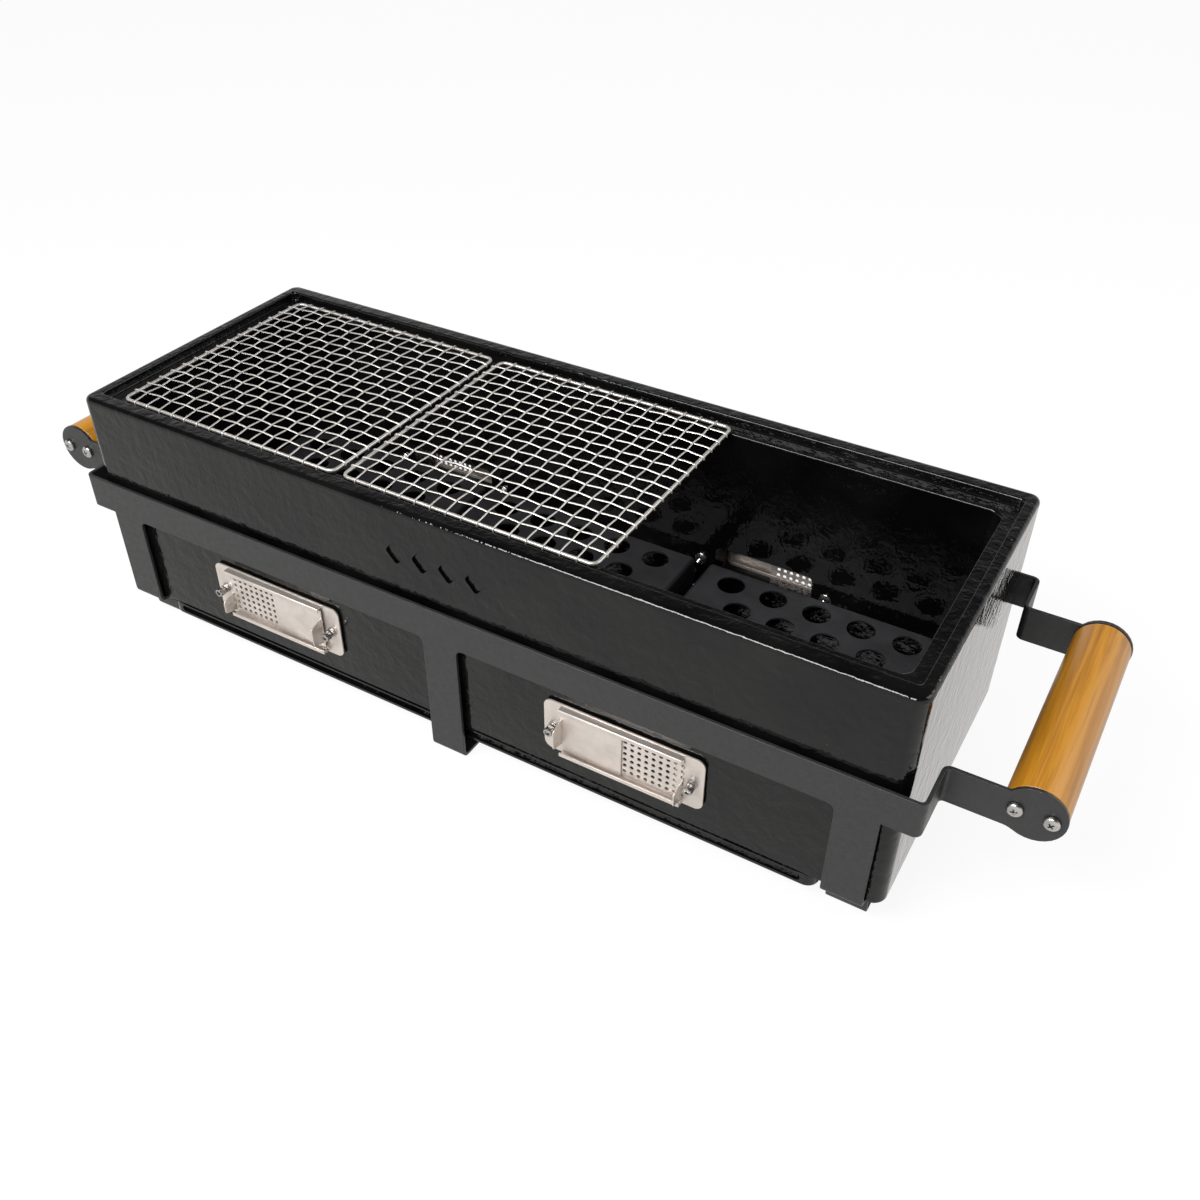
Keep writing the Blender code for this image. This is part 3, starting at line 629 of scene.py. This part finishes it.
def makeGrips():
    for side in ("left", "right"):
        low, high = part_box("handle_" + side)
        centre = (low + high) / 2
        radius = (high.z - low.z) / 2
        half = (high.y - low.y) / 2
        endRound = grip["endRound"]
        profile = [(-half, radius - endRound)]
        for step in range(1, 5):
            a = math.pi / 2 * step / 4
            profile.append((-half + endRound * (1 - math.cos(a)), radius - endRound + endRound * math.sin(a)))
        profile += [(-z, r) for z, r in reversed(profile)]
        bar = turned("grip_" + side, profile, grip["sides"])
        bar.rotation_euler = (math.pi / 2, 0, 0)
        bar.location = centre
        applyPlace(bar)
        bores = []
        for end in ("front", "rear"):
            for row in ("inner", "outer"):
                node = "handle_%s_screw_%s_%s" % (side, end, row)
                screwLow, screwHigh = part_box(node)
                middle = (screwLow + screwHigh) / 2
                bores.append(addCylinder("bore", grip["bore"], 0.05, middle, (math.pi / 2, 0, 0), 16))
        boolean(bar, joinInto(bores[0], bores[1:]))
        smooth(bar, 30)
        evenNormals(bar)
        finishPiece(bar, rootBody, wood, "wood", "handle_" + side)
    print("grips made")


def makePanScrew():
    s = panScrew
    profile = [(-s["length"], s["shank"] * 0.5), (-s["length"] + s["point"], s["shank"]),
               (s["under"], s["shank"]), (s["under"], s["head"]), (s["brim"], s["head"])]
    for step in range(1, 7):
        a = math.pi / 2 * step / 6
        profile.append((s["brim"] + (s["height"] - s["brim"]) * math.sin(a),
                        max(s["head"] * math.cos(a) ** 0.7, 0.0003)))
    screw = turned("panScrew", profile, 40)
    arms = []
    for turn in (0.0, math.pi / 2):
        arm = addBox("arm", (-s["recess"] / 2, -s["recessWidth"] / 2, s["height"] - s["recessDeep"]),
                     (s["recess"] / 2, s["recessWidth"] / 2, s["height"] + 0.001))
        startEdit(arm)
        pickFaces(arm, lambda c, n: n.z < -0.9)
        scaleBy(0.45, 0.6, 1, (0, 0, s["height"] - s["recessDeep"]))
        stopEdit()
        arm.rotation_euler = (0, 0, turn)
        applyPlace(arm)
        arms.append(arm)
    boolean(arms[0], arms[1], "UNION")
    boolean(screw, arms[0])
    smooth(screw, 35)
    return screw


def placePanScrews():
    template = makePanScrew()
    turns = {"front": (0.3, 0.75), "rear": (0.5, 0.1)}
    for side in ("left", "right"):
        for end, sign in (("front", -1), ("rear", 1)):
            for row, turn in zip(("inner", "outer"), turns[end]):
                node = "handle_%s_screw_%s_%s" % (side, end, row)
                low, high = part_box(node)
                face = (low.y + panScrew["height"]) if sign < 0 else (high.y - panScrew["height"])
                place = ((low.x + high.x) / 2, face, (low.z + high.z) / 2)
                spun = copyPiece(template, "spun", (0, 0, 0), (0, 0, turn))
                screw = copyPiece(spun, "grip_screw_%s_%s_%s" % (side, end, row), place,
                                  (-sign * math.pi / 2, 0, 0))
                bpy.data.objects.remove(spun, do_unlink=True)
                finishPiece(screw, rootBody, fastenerSteel, "fasteners", node)
    bpy.data.objects.remove(template, do_unlink=True)
    print("grip screws made")


vent = {"near": 0.0018, "thick": 0.0015, "halfLength": 0.0685, "halfHeight": 0.025, "corner": 0.007,
        "windowX": 0.044, "windowZ": 0.017, "windowCorner": 0.004, "bore": 0.0025, "edge": 0.0003,
        "channelHalf": 0.052, "channelReach": 0.0062, "channelWall": 0.0012, "channelLip": 0.0036,
        "channelEdge": 0.0005, "channelRound": 0.0009, "lipEdge": 0.00015,
        "slide": 0.00045, "sheet": 0.001, "sheetHalf": 0.021, "sheetEdge": 0.0002, "overlap": 0.004,
        "tabReach": 0.0125, "tabCorner": 0.002, "shutterTab": (0.013, 0.009), "screenTab": (0.0095, 0.006),
        "screenTabDrop": 0.0105, "holeRadius": 0.00165, "holePitch": 0.006, "rows": 6, "columns": 9}
capScrew = {"reach": 0.0102, "head": 0.00375, "headFrom": 0.0044, "shank": 0.002, "tip": 0.0403,
            "threadFrom": 0.0285, "pitch": 0.0007, "washer": 0.0042, "nut": 0.0040, "nutFrom": 0.0011,
            "nutTo": 0.0034, "socket": 0.0023, "socketDeep": 0.0030, "knurls": 30, "knurlShare": 0.955}
innerNut = {"washer": 0.0058, "washerThick": 0.001, "nut": 0.0044, "nutThick": 0.0032, "bore": 0.0024}


def makeHexNut(name, radius, low, high, bore):
    nut = addCylinder(name, radius, high - low, (0, 0, (low + high) / 2), (0, 0, 0), 6)
    boolean(nut, addCylinder("bore", bore, 0.02, (0, 0, (low + high) / 2), (0, 0, 0), 24))
    startEdit(nut)
    pickEdges(nut, lambda a, b, n: a.xy.length > radius * 0.8 and b.xy.length > radius * 0.8)
    bevelPicked(0.00022, 2)
    stopEdit()
    return nut


def makeCapScrew():
    s = capScrew
    profile = [(-s["tip"], s["shank"] * 0.7), (-s["tip"] + 0.0006, s["shank"])]
    z = -s["tip"] + 0.0006
    while z < -s["threadFrom"]:
        profile += [(z + s["pitch"] * 0.5, s["shank"] * 0.84), (z + s["pitch"], s["shank"])]
        z += s["pitch"]
    profile.append((s["headFrom"] + 0.0002, s["shank"]))
    shank = turned("shank", profile, 20)
    head = turned("head", [(s["headFrom"], s["head"] - 0.0002), (s["headFrom"] + 0.0002, s["head"]),
                           (s["reach"] - 0.0005, s["head"]), (s["reach"] - 0.0001, s["head"] - 0.0003),
                           (s["reach"], s["head"] - 0.0006)], s["knurls"] * 2)
    # knurling: every other line of corners on the side is pressed in
    startEdit(head)
    bpy.ops.mesh.select_mode(type="VERT")
    bpy.ops.mesh.select_all(action="DESELECT")
    mesh = bmesh.from_edit_mesh(head.data)
    for corner in mesh.verts:
        onSide = s["headFrom"] < corner.co.z < s["reach"] - 0.0003 and corner.co.xy.length > s["head"] * 0.9
        index = round(math.atan2(corner.co.y, corner.co.x) / (math.pi / s["knurls"]))
        if onSide and index % 2:
            corner.select_set(True)
    bmesh.update_edit_mesh(head.data)
    scaleBy(s["knurlShare"], s["knurlShare"], 1)
    stopEdit()
    boolean(head, addCylinder("socket", s["socket"], s["socketDeep"] * 2, (0, 0, s["reach"]), (0, 0, 0.4), 6))
    washer = turned("washer", [(0.0003, s["washer"] - 0.0002), (0.0004, s["washer"]), (0.0009, s["washer"]),
                               (0.001, s["washer"] - 0.0002)], 32)
    nut = makeHexNut("outerNut", s["nut"], s["nutFrom"], s["nutTo"], s["shank"])
    screw = joinInto(shank, [head, washer, nut])
    screw.name = "capScrew"
    smooth(screw, 30)
    return screw


def makeInnerNut():
    s = innerNut
    washer = turned("washer", [(0, s["washer"] - 0.0002), (0.0002, s["washer"]), (0.0008, s["washer"]),
                               (s["washerThick"], s["washer"] - 0.0002)], 32)
    boolean(washer, addCylinder("bore", s["bore"], 0.01, (0, 0, 0), (0, 0, 0), 24))
    nut = makeHexNut("nut", s["nut"], s["washerThick"] + 0.0001, s["washerThick"] + s["nutThick"], s["bore"])
    nut = joinInto(washer, [nut])
    smooth(nut, 30)
    return nut


def wallFace(side):
    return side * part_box("body")[1].y


def upright(name, x0, x1, y0, y1, z0, z1, corner, segments=5):
    # a plate that stands across Y, with its four corners rounded
    ys = sorted((y0, y1))
    piece = addBox(name, (min(x0, x1), ys[0], z0), (max(x0, x1), ys[1], z1))
    if corner:
        startEdit(piece)
        pickEdges(piece, lambda a, b, n: abs(a.x - b.x) < 0.0001 and abs(a.z - b.z) < 0.0001)
        bevelPicked(corner, segments)
        stopEdit()
    return piece


def makeBasePlate(tag):
    s = vent
    x, z, side = ventCentre(tag)
    near = wallFace(side) + side * s["near"]
    far = wallFace(side) + side * (s["near"] + s["thick"])
    plate = upright("vent_base_" + tag, x - s["halfLength"], x + s["halfLength"], near, far,
                    z - s["halfHeight"], z + s["halfHeight"], s["corner"], 8)
    window = upright("window", x - s["windowX"], x + s["windowX"], near - side * 0.01, far + side * 0.01,
                     z - s["windowZ"], z + s["windowZ"], s["windowCorner"])
    bores = [addCylinder("bore", s["bore"], 0.02, (boreX, near, z), (math.pi / 2, 0, 0), 24)
             for boreX in boreXs(tag)]
    boolean(plate, joinInto(window, bores))
    breakEdges(plate, s["edge"])
    lips = []
    for way in (-1, 1):
        outer = z + way * (s["halfHeight"] - s["channelEdge"])
        inner = outer - way * s["channelWall"]
        end = far + side * s["channelReach"]
        back = end - side * s["channelWall"]
        lip = upright("lip", x - s["channelHalf"], x + s["channelHalf"], far - side * 0.0006, back,
                      min(outer, inner), max(outer, inner), 0)
        startEdit(lip)
        pickFaces(lip, lambda c, n: n.y * side > 0.9)
        extrudeBy(0, end - back, 0)
        pickFaces(lip, lambda c, n: n.z * way < -0.9 and abs(c.y) > abs(back))
        extrudeBy(0, 0, -way * (s["channelLip"] - s["channelWall"]))
        pickEdges(lip, lambda a, b, n: abs(a.x - b.x) > 0.01 and abs(a.y - end) < 0.0001
                  and abs(a.z - outer) < 0.0001)
        bevelPicked(s["channelRound"], 4)
        stopEdit()
        breakEdges(lip, s["lipEdge"])
        lips.append(lip)
    joinInto(plate, lips)
    smooth(plate, 35)
    finishPiece(plate, rootBody, ventSteel, "vent_steel", "vent_%s_plate" % tag)


def makeTab(x, side, root, tip, z, rootHalf, tipHalf):
    # a finger tab folded out of a sheet's end
    tab = addBox("tab", (x - vent["sheet"] / 2, min(root, tip), z - rootHalf),
                 (x + vent["sheet"] / 2, max(root, tip), z + rootHalf))
    startEdit(tab)
    pickFaces(tab, lambda c, n: n.y * side > 0.9)
    scaleBy(1, 1, tipHalf / rootHalf, (x, tip, z))
    pickEdges(tab, lambda a, b, n: abs(a.x - b.x) > 0.0005 and abs(a.y - tip) < 0.0001)
    bevelPicked(vent["tabCorner"], 4)
    stopEdit()
    breakEdges(tab, vent["sheetEdge"])
    return tab


def makeShutter(tag):
    s = vent
    node = "vent_%s_shutter" % tag
    x, z, side = ventCentre(tag)
    low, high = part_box(node)
    way = 1 if (low.x + high.x) / 2 > x else -1
    root = wallFace(side) + side * (s["near"] + s["thick"] + 2 * s["slide"] + s["sheet"])
    end = x + way * s["channelHalf"]
    sheet = upright("shutter_" + tag, x - way * 0.001, end, root, root + side * s["sheet"],
                    z - s["sheetHalf"], z + s["sheetHalf"], 0.0005, 2)
    breakEdges(sheet, s["sheetEdge"])
    tip = root + side * (s["sheet"] + s["tabReach"])
    joinInto(sheet, [makeTab(end - way * 0.0008, side, root + side * 0.0002, tip, z, *s["shutterTab"])])
    smooth(sheet, 35)
    finishPiece(sheet, "shutter_" + tag, ventSteel, "vent_steel", node)


def makeScreen(tag):
    # the sheet is cut from perforated stock, so the pattern runs off its ends
    s = vent
    node = "vent_%s_screen" % tag
    x, z, side = ventCentre(tag)
    low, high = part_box(node)
    way = 1 if (low.x + high.x) / 2 > x else -1
    root = wallFace(side) + side * (s["near"] + s["thick"] + s["slide"])
    end = x + way * s["channelHalf"]
    sheet = upright("screen_" + tag, x - way * s["overlap"], end, root, root + side * s["sheet"],
                    z - s["sheetHalf"], z + s["sheetHalf"], 0)
    corner = (end - way * 0.0005, root, z - s["holePitch"] * (s["rows"] - 1) / 2)
    hole = addCylinder("hole", s["holeRadius"], 0.006, corner, (math.pi / 2, 0, 0), 24)
    repeat(hole, s["columns"], (-way * s["holePitch"], 0, 0))
    repeat(hole, s["rows"], (0, 0, s["holePitch"]))
    boolean(sheet, hole)
    tip = root + side * (s["sheet"] + s["tabReach"])
    joinInto(sheet, [makeTab(end - way * 0.001, side, root + side * 0.0002, tip, z - s["screenTabDrop"],
                             *s["screenTab"])])
    smooth(sheet, 35)
    finishPiece(sheet, rootBody, ventSteel, "vent_steel", node)


def makeVents():
    capTemplate = makeCapScrew()
    nutTemplate = makeInnerNut()
    for tag in ventTags:
        side = ventCentre(tag)[2]
        makeBasePlate(tag)
        makeShutter(tag)
        makeScreen(tag)
        for row in ("left", "right"):
            node = "vent_%s_screw_%s" % (tag, row)
            low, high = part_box(node)
            face = (low.y + capScrew["reach"]) if side < 0 else (high.y - capScrew["reach"])
            place = ((low.x + high.x) / 2, face, (low.z + high.z) / 2)
            screw = copyPiece(capTemplate, "cap_screw_%s_%s" % (tag, row), place, (-side * math.pi / 2, 0, 0))
            finishPiece(screw, rootBody, fastenerSteel, "fasteners", node)
            node = "vent_%s_nut_%s" % (tag, row)
            low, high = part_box(node)
            place = ((low.x + high.x) / 2, low.y if side < 0 else high.y, (low.z + high.z) / 2)
            nut = copyPiece(nutTemplate, "inner_nut_%s_%s" % (tag, row), place, (side * math.pi / 2, 0, 0))
            finishPiece(nut, rootBody, fastenerSteel, "fasteners", node)
    bpy.data.objects.remove(capTemplate, do_unlink=True)
    bpy.data.objects.remove(nutTemplate, do_unlink=True)
    print("vents made")


coalPlate = {"thick": 0.002, "hole": 0.012, "pitchX": 0.0396, "pitchY": 0.031, "fold": 0.0026, "edge": 0.0003,
             "marginX": 0.012, "marginY": 0.005}


def makeCoalPlate(name):
    s = coalPlate
    node = "coal_plate_" + name
    low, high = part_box(node)
    centre = (low + high) / 2
    inset = s["thick"] / 2
    deselect()
    bpy.ops.mesh.primitive_plane_add(size=1, location=(centre.x, centre.y, high.z - inset))
    piece = bpy.context.object
    piece.name = "charcoal_plate_" + name
    piece.scale = (high.x - low.x - 2 * inset, high.y - low.y, 1)
    applyPlace(piece)
    startEdit(piece)
    for side in (-1, 1):
        pickEdges(piece, lambda a, b, n: abs(a.x - b.x) < 0.0001 and (a.x - centre.x) * side > 0
                  and abs(a.z - b.z) < 0.0001)
        extrudeBy(0, 0, low.z - high.z + inset)
    pickEdges(piece, lambda a, b, n: len(n) == 2)
    bevelPicked(s["fold"], 6)
    bpy.ops.mesh.select_all(action="SELECT")
    bpy.ops.mesh.normals_make_consistent(inside=False)
    stopEdit()
    applyModifier(piece, "SOLIDIFY", thickness=s["thick"], offset=0.0, use_even_offset=True)
    cutters = []
    span = high.x - low.x - 2 * s["hole"] - 2 * s["marginX"]
    full = int(span / s["pitchX"]) + 1
    rows = int((high.y - low.y - 2 * s["marginY"]) / s["pitchY"]) + 1
    for j in range(rows):
        count = full if j % 2 == 0 else full - 1
        y = centre.y + s["pitchY"] * ((rows - 1) / 2 - j)
        first = centre.x - s["pitchX"] * (count - 1) / 2
        hole = addCylinder("hole", s["hole"], 0.02, (first, y, high.z), (0, 0, 0), 40)
        repeat(hole, count, (s["pitchX"], 0, 0))
        cutters.append(hole)
    boolean(piece, joinInto(cutters[0], cutters[1:]))
    tidyMesh(piece)
    breakEdges(piece, s["edge"])
    smooth(piece, 35)
    evenNormals(piece)
    finishPiece(piece, node, coalSteel, "coal_steel", node)


grate = {"cells": 16, "wire": 0.00068, "rod": 0.0015, "crimp": 0.0006, "kink": 1.6, "steps": 8,
         "meshRise": 0.0030, "corner": 0.006}


def addWires(name, paths, radius, resolution, closed=False):
    deselect()
    bpy.ops.curve.primitive_nurbs_path_add()
    piece = bpy.context.object
    piece.name = name
    line = piece.data
    line.splines.clear()
    for path in paths:
        spline = line.splines.new("POLY")
        spline.points.add(len(path) - 1)
        for point, place in zip(spline.points, path):
            point.co = (*place, 1.0)
        spline.use_cyclic_u = closed
    line.bevel_depth = radius
    line.bevel_resolution = resolution
    line.use_fill_caps = not closed
    activate(piece)
    bpy.ops.object.convert(target="MESH")
    return bpy.context.object


def wirePath(start, end, fixed, along, level, phase, rodLevel):
    # one crimped wire: it rises and dips at each crossing, and curls over the border rod at both ends
    s = grate
    count = s["cells"] * s["steps"]
    reach = s["rod"] + s["wire"]
    points = []
    turns = [math.radians(a) for a in (-25, 5, 35, 65)]
    for a in turns:
        points.append((start - reach * math.cos(a), rodLevel + reach * math.sin(a)))
    for i in range(1, count):
        t = i / count
        u = start + (end - start) * t
        wave = math.cos(math.pi * s["cells"] * t)
        wave = phase * math.copysign(abs(wave) ** s["kink"], wave)
        ease = min(1.0, i / s["steps"], (count - i) / s["steps"])
        points.append((u, level + s["crimp"] * wave * ease + (1 - ease) * (rodLevel + reach - level)))
    for a in reversed(turns):
        points.append((end + reach * math.cos(a), rodLevel + reach * math.sin(a)))
    if along == "x":
        return [(u, fixed, z) for u, z in points]
    return [(fixed, u, z) for u, z in points]


def makeGrate(name):
    s = grate
    lower, upper = "grate_%s_lower" % name, "grate_%s_upper" % name
    low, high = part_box(lower)
    centre = (low + high) / 2
    halfX = (high.x - low.x) / 2 - s["rod"]
    halfY = (high.y - low.y) / 2 - s["rod"]
    rodLevel = low.z + s["rod"]
    level = rodLevel + s["meshRise"]
    border = []
    for cornerX, cornerY, first in ((1, 1, 0), (-1, 1, 90), (-1, -1, 180), (1, -1, 270)):
        for step in range(7):
            a = math.radians(first + 15 * step)
            border.append((centre.x + cornerX * (halfX - s["corner"]) + s["corner"] * math.cos(a),
                           centre.y + cornerY * (halfY - s["corner"]) + s["corner"] * math.sin(a), rodLevel))
    rod = addWires("border", [border], s["rod"], 4, True)
    paths = []
    for i in range(1, s["cells"]):
        share = 2 * i / s["cells"] - 1
        phase = 1 if i % 2 else -1
        for along, middle, half, fixed, sign in (("x", centre.x, halfX, centre.y + halfY * share, phase),
                                                 ("y", centre.y, halfY, centre.x + halfX * share, -phase)):
            paths.append(wirePath(middle - half, middle + half, fixed, along, level, sign, rodLevel))
    wires = addWires("wires", paths, s["wire"], 1)
    piece = joinInto(rod, [wires])
    piece.name = "wire_grate_" + name
    smooth(piece, 60)
    finishPiece(piece, "grate_" + name, grateWire, "grate_wire", lower, upper)


stage = {"floorSize": 8.0, "floorShade": 0.86, "ambient": 0.66, "ceiling": 0.05, "ceilingFrom": 0.2,
         "ceilingTo": 0.66, "nearGlow": 0.86, "sideGlow": 0.16, "glowFrom": 0.34, "glowTo": 0.54,
         "stripFrom": (-0.80, -1.10, 1.36), "stripTo": (0.25, -1.28, 1.48), "stripWidth": 0.5,
         "stripPower": 38.0, "fillFrom": (1.5, 0.9, 1.5), "fillSize": 1.2, "fillPower": 12.0,
         "aim": (0, 0, 0.15)}
view = {"place": (0.4672, -0.7043, 0.7300), "azimuth": 29.96, "elevation": 38.14, "roll": 0.573,
        "lens": 36.43, "sensor": 36.0}


def addArea(name, power, long, short, place, target, along):
    # an area light that faces the target, with its long side along a given direction
    deselect()
    bpy.ops.object.light_add(type="AREA", location=place)
    lamp = bpy.context.object
    lamp.name = name
    lamp.data.shape = "RECTANGLE"
    lamp.data.energy = power
    lamp.data.size = long
    lamp.data.size_y = short
    back = (Vector(place) - Vector(target)).normalized()
    side = (Vector(along) - back * back.dot(Vector(along))).normalized()
    lamp.rotation_euler = Matrix((side, back.cross(side), back)).transposed().to_euler()


def makeFloor():
    # white to the camera but for its shadows; its mirror image in the glaze is brighter beyond the right end
    deselect()
    bpy.ops.mesh.primitive_plane_add(size=stage["floorSize"], location=(0, 0, 0))
    floor = bpy.context.object
    floor.name = "floor"
    material = bpy.data.materials.new("paleFloor")
    material.use_nodes = True
    tree = material.node_tree
    shader = tree.nodes["Principled BSDF"]
    shade = stage["floorShade"]
    shader.inputs["Base Color"].default_value = (shade, shade, shade, 1)
    shader.inputs["Roughness"].default_value = 0.9
    shader.inputs["Specular IOR Level"].default_value = 0.0
    output = tree.nodes["Material Output"]
    path = addNode(tree, "ShaderNodeLightPath", (-800, 300))
    place = addNode(tree, "ShaderNodeTexCoord", (-1000, -200))
    split = addNode(tree, "ShaderNodeSeparateXYZ", (-800, -200))
    tree.links.new(place.outputs["Object"], split.inputs["Vector"])
    beside = addNode(tree, "ShaderNodeMapRange", (-600, -200), interpolation_type="SMOOTHSTEP")
    beside.inputs["From Min"].default_value = stage["glowFrom"]
    beside.inputs["From Max"].default_value = stage["glowTo"]
    beside.inputs["To Min"].default_value = stage["nearGlow"]
    beside.inputs["To Max"].default_value = stage["nearGlow"] + stage["sideGlow"]
    tree.links.new(split.outputs["X"], beside.inputs["Value"])
    glow = addNode(tree, "ShaderNodeEmission", (-200, -100))
    glow.inputs["Color"].default_value = (1.0, 0.985, 0.965, 1)
    tree.links.new(beside.outputs["Result"], glow.inputs["Strength"])
    white = addNode(tree, "ShaderNodeEmission", (-200, -300))
    seen = addNode(tree, "ShaderNodeMixShader", (100, 200))
    seen.inputs["Fac"].default_value = 0.9
    tree.links.new(shader.outputs["BSDF"], seen.inputs[1])
    tree.links.new(white.outputs["Emission"], seen.inputs[2])
    forCamera = addNode(tree, "ShaderNodeMixShader", (300, 100))
    tree.links.new(path.outputs["Is Camera Ray"], forCamera.inputs["Fac"])
    tree.links.new(shader.outputs["BSDF"], forCamera.inputs[1])
    tree.links.new(seen.outputs["Shader"], forCamera.inputs[2])
    mirrored = addNode(tree, "ShaderNodeMath", (-400, 300), operation="MAXIMUM")
    tree.links.new(path.outputs["Is Glossy Ray"], mirrored.inputs[0])
    tree.links.new(path.outputs["Is Transmission Ray"], mirrored.inputs[1])
    final = addNode(tree, "ShaderNodeMixShader", (500, 100))
    tree.links.new(mirrored.outputs["Value"], final.inputs["Fac"])
    tree.links.new(forCamera.outputs["Shader"], final.inputs[1])
    tree.links.new(glow.outputs["Emission"], final.inputs[2])
    tree.links.new(final.outputs["Shader"], output.inputs["Surface"])
    floor.data.materials.append(material)


def makeWorld():
    # white where the camera sees it; in reflections the ceiling is dim, as in a studio
    world = bpy.data.worlds.new("studio")
    bpy.context.scene.world = world
    world.use_nodes = True
    tree = world.node_tree
    background = tree.nodes["Background"]
    background.inputs["Color"].default_value = (1, 1, 1, 1)
    path = addNode(tree, "ShaderNodeLightPath", (-900, 200))
    place = addNode(tree, "ShaderNodeTexCoord", (-1100, -200))
    split = addNode(tree, "ShaderNodeSeparateXYZ", (-900, -200))
    tree.links.new(place.outputs["Generated"], split.inputs["Vector"])
    ceiling = addNode(tree, "ShaderNodeMapRange", (-700, -200), interpolation_type="SMOOTHSTEP")
    ceiling.inputs["From Min"].default_value = stage["ceilingFrom"]
    ceiling.inputs["From Max"].default_value = stage["ceilingTo"]
    ceiling.inputs["To Min"].default_value = 1.0
    ceiling.inputs["To Max"].default_value = stage["ceiling"]
    tree.links.new(split.outputs["Z"], ceiling.inputs["Value"])
    mirrored = addNode(tree, "ShaderNodeMix", (-450, 0))
    mirrored.inputs["A"].default_value = stage["ambient"]
    tree.links.new(path.outputs["Is Glossy Ray"], mirrored.inputs["Factor"])
    tree.links.new(ceiling.outputs["Result"], mirrored.inputs["B"])
    direct = addNode(tree, "ShaderNodeMath", (-450, 250), operation="MAXIMUM")
    tree.links.new(path.outputs["Is Camera Ray"], direct.inputs[0])
    tree.links.new(path.outputs["Is Transmission Ray"], direct.inputs[1])
    strength = addNode(tree, "ShaderNodeMix", (-200, 0))
    strength.inputs["B"].default_value = 1.0
    tree.links.new(direct.outputs["Value"], strength.inputs["Factor"])
    tree.links.new(mirrored.outputs["Result"], strength.inputs["A"])
    tree.links.new(strength.outputs["Result"], background.inputs["Strength"])


def makeCamera():
    azimuth, elevation = math.radians(view["azimuth"]), math.radians(view["elevation"])
    roll = math.radians(view["roll"])
    forward = Vector((-math.sin(azimuth) * math.cos(elevation), math.cos(azimuth) * math.cos(elevation),
                      -math.sin(elevation)))
    right = Vector((math.cos(azimuth), math.sin(azimuth), 0))
    up = right.cross(forward)
    right, up = right * math.cos(roll) + up * math.sin(roll), up * math.cos(roll) - right * math.sin(roll)
    deselect()
    bpy.ops.object.camera_add(location=view["place"])
    camera = bpy.context.object
    camera.rotation_euler = Matrix((right, up, -forward)).transposed().to_euler()
    camera.data.lens = view["lens"]
    camera.data.sensor_width = view["sensor"]
    bpy.context.scene.camera = camera


def makeStage():
    makeFloor()
    makeWorld()
    first, last = Vector(stage["stripFrom"]), Vector(stage["stripTo"])
    addArea("strip", stage["stripPower"], (last - first).length, stage["stripWidth"], (first + last) / 2,
            stage["aim"], last - first)
    addArea("fill", stage["fillPower"], stage["fillSize"], stage["fillSize"], stage["fillFrom"],
            stage["aim"], (0, 1, 0))
    makeCamera()
    bpy.context.scene.view_settings.view_transform = "Standard"
    print("stage made")


makeFirebox()
makeCarrier()
makeGrips()
placePanScrews()
makeVents()
for plateName in ("left", "mid", "right"):
    makeCoalPlate(plateName)
print("charcoal plates made")
for grateName in ("left", "mid"):
    makeGrate(grateName)
print("grates made")
makeStage()
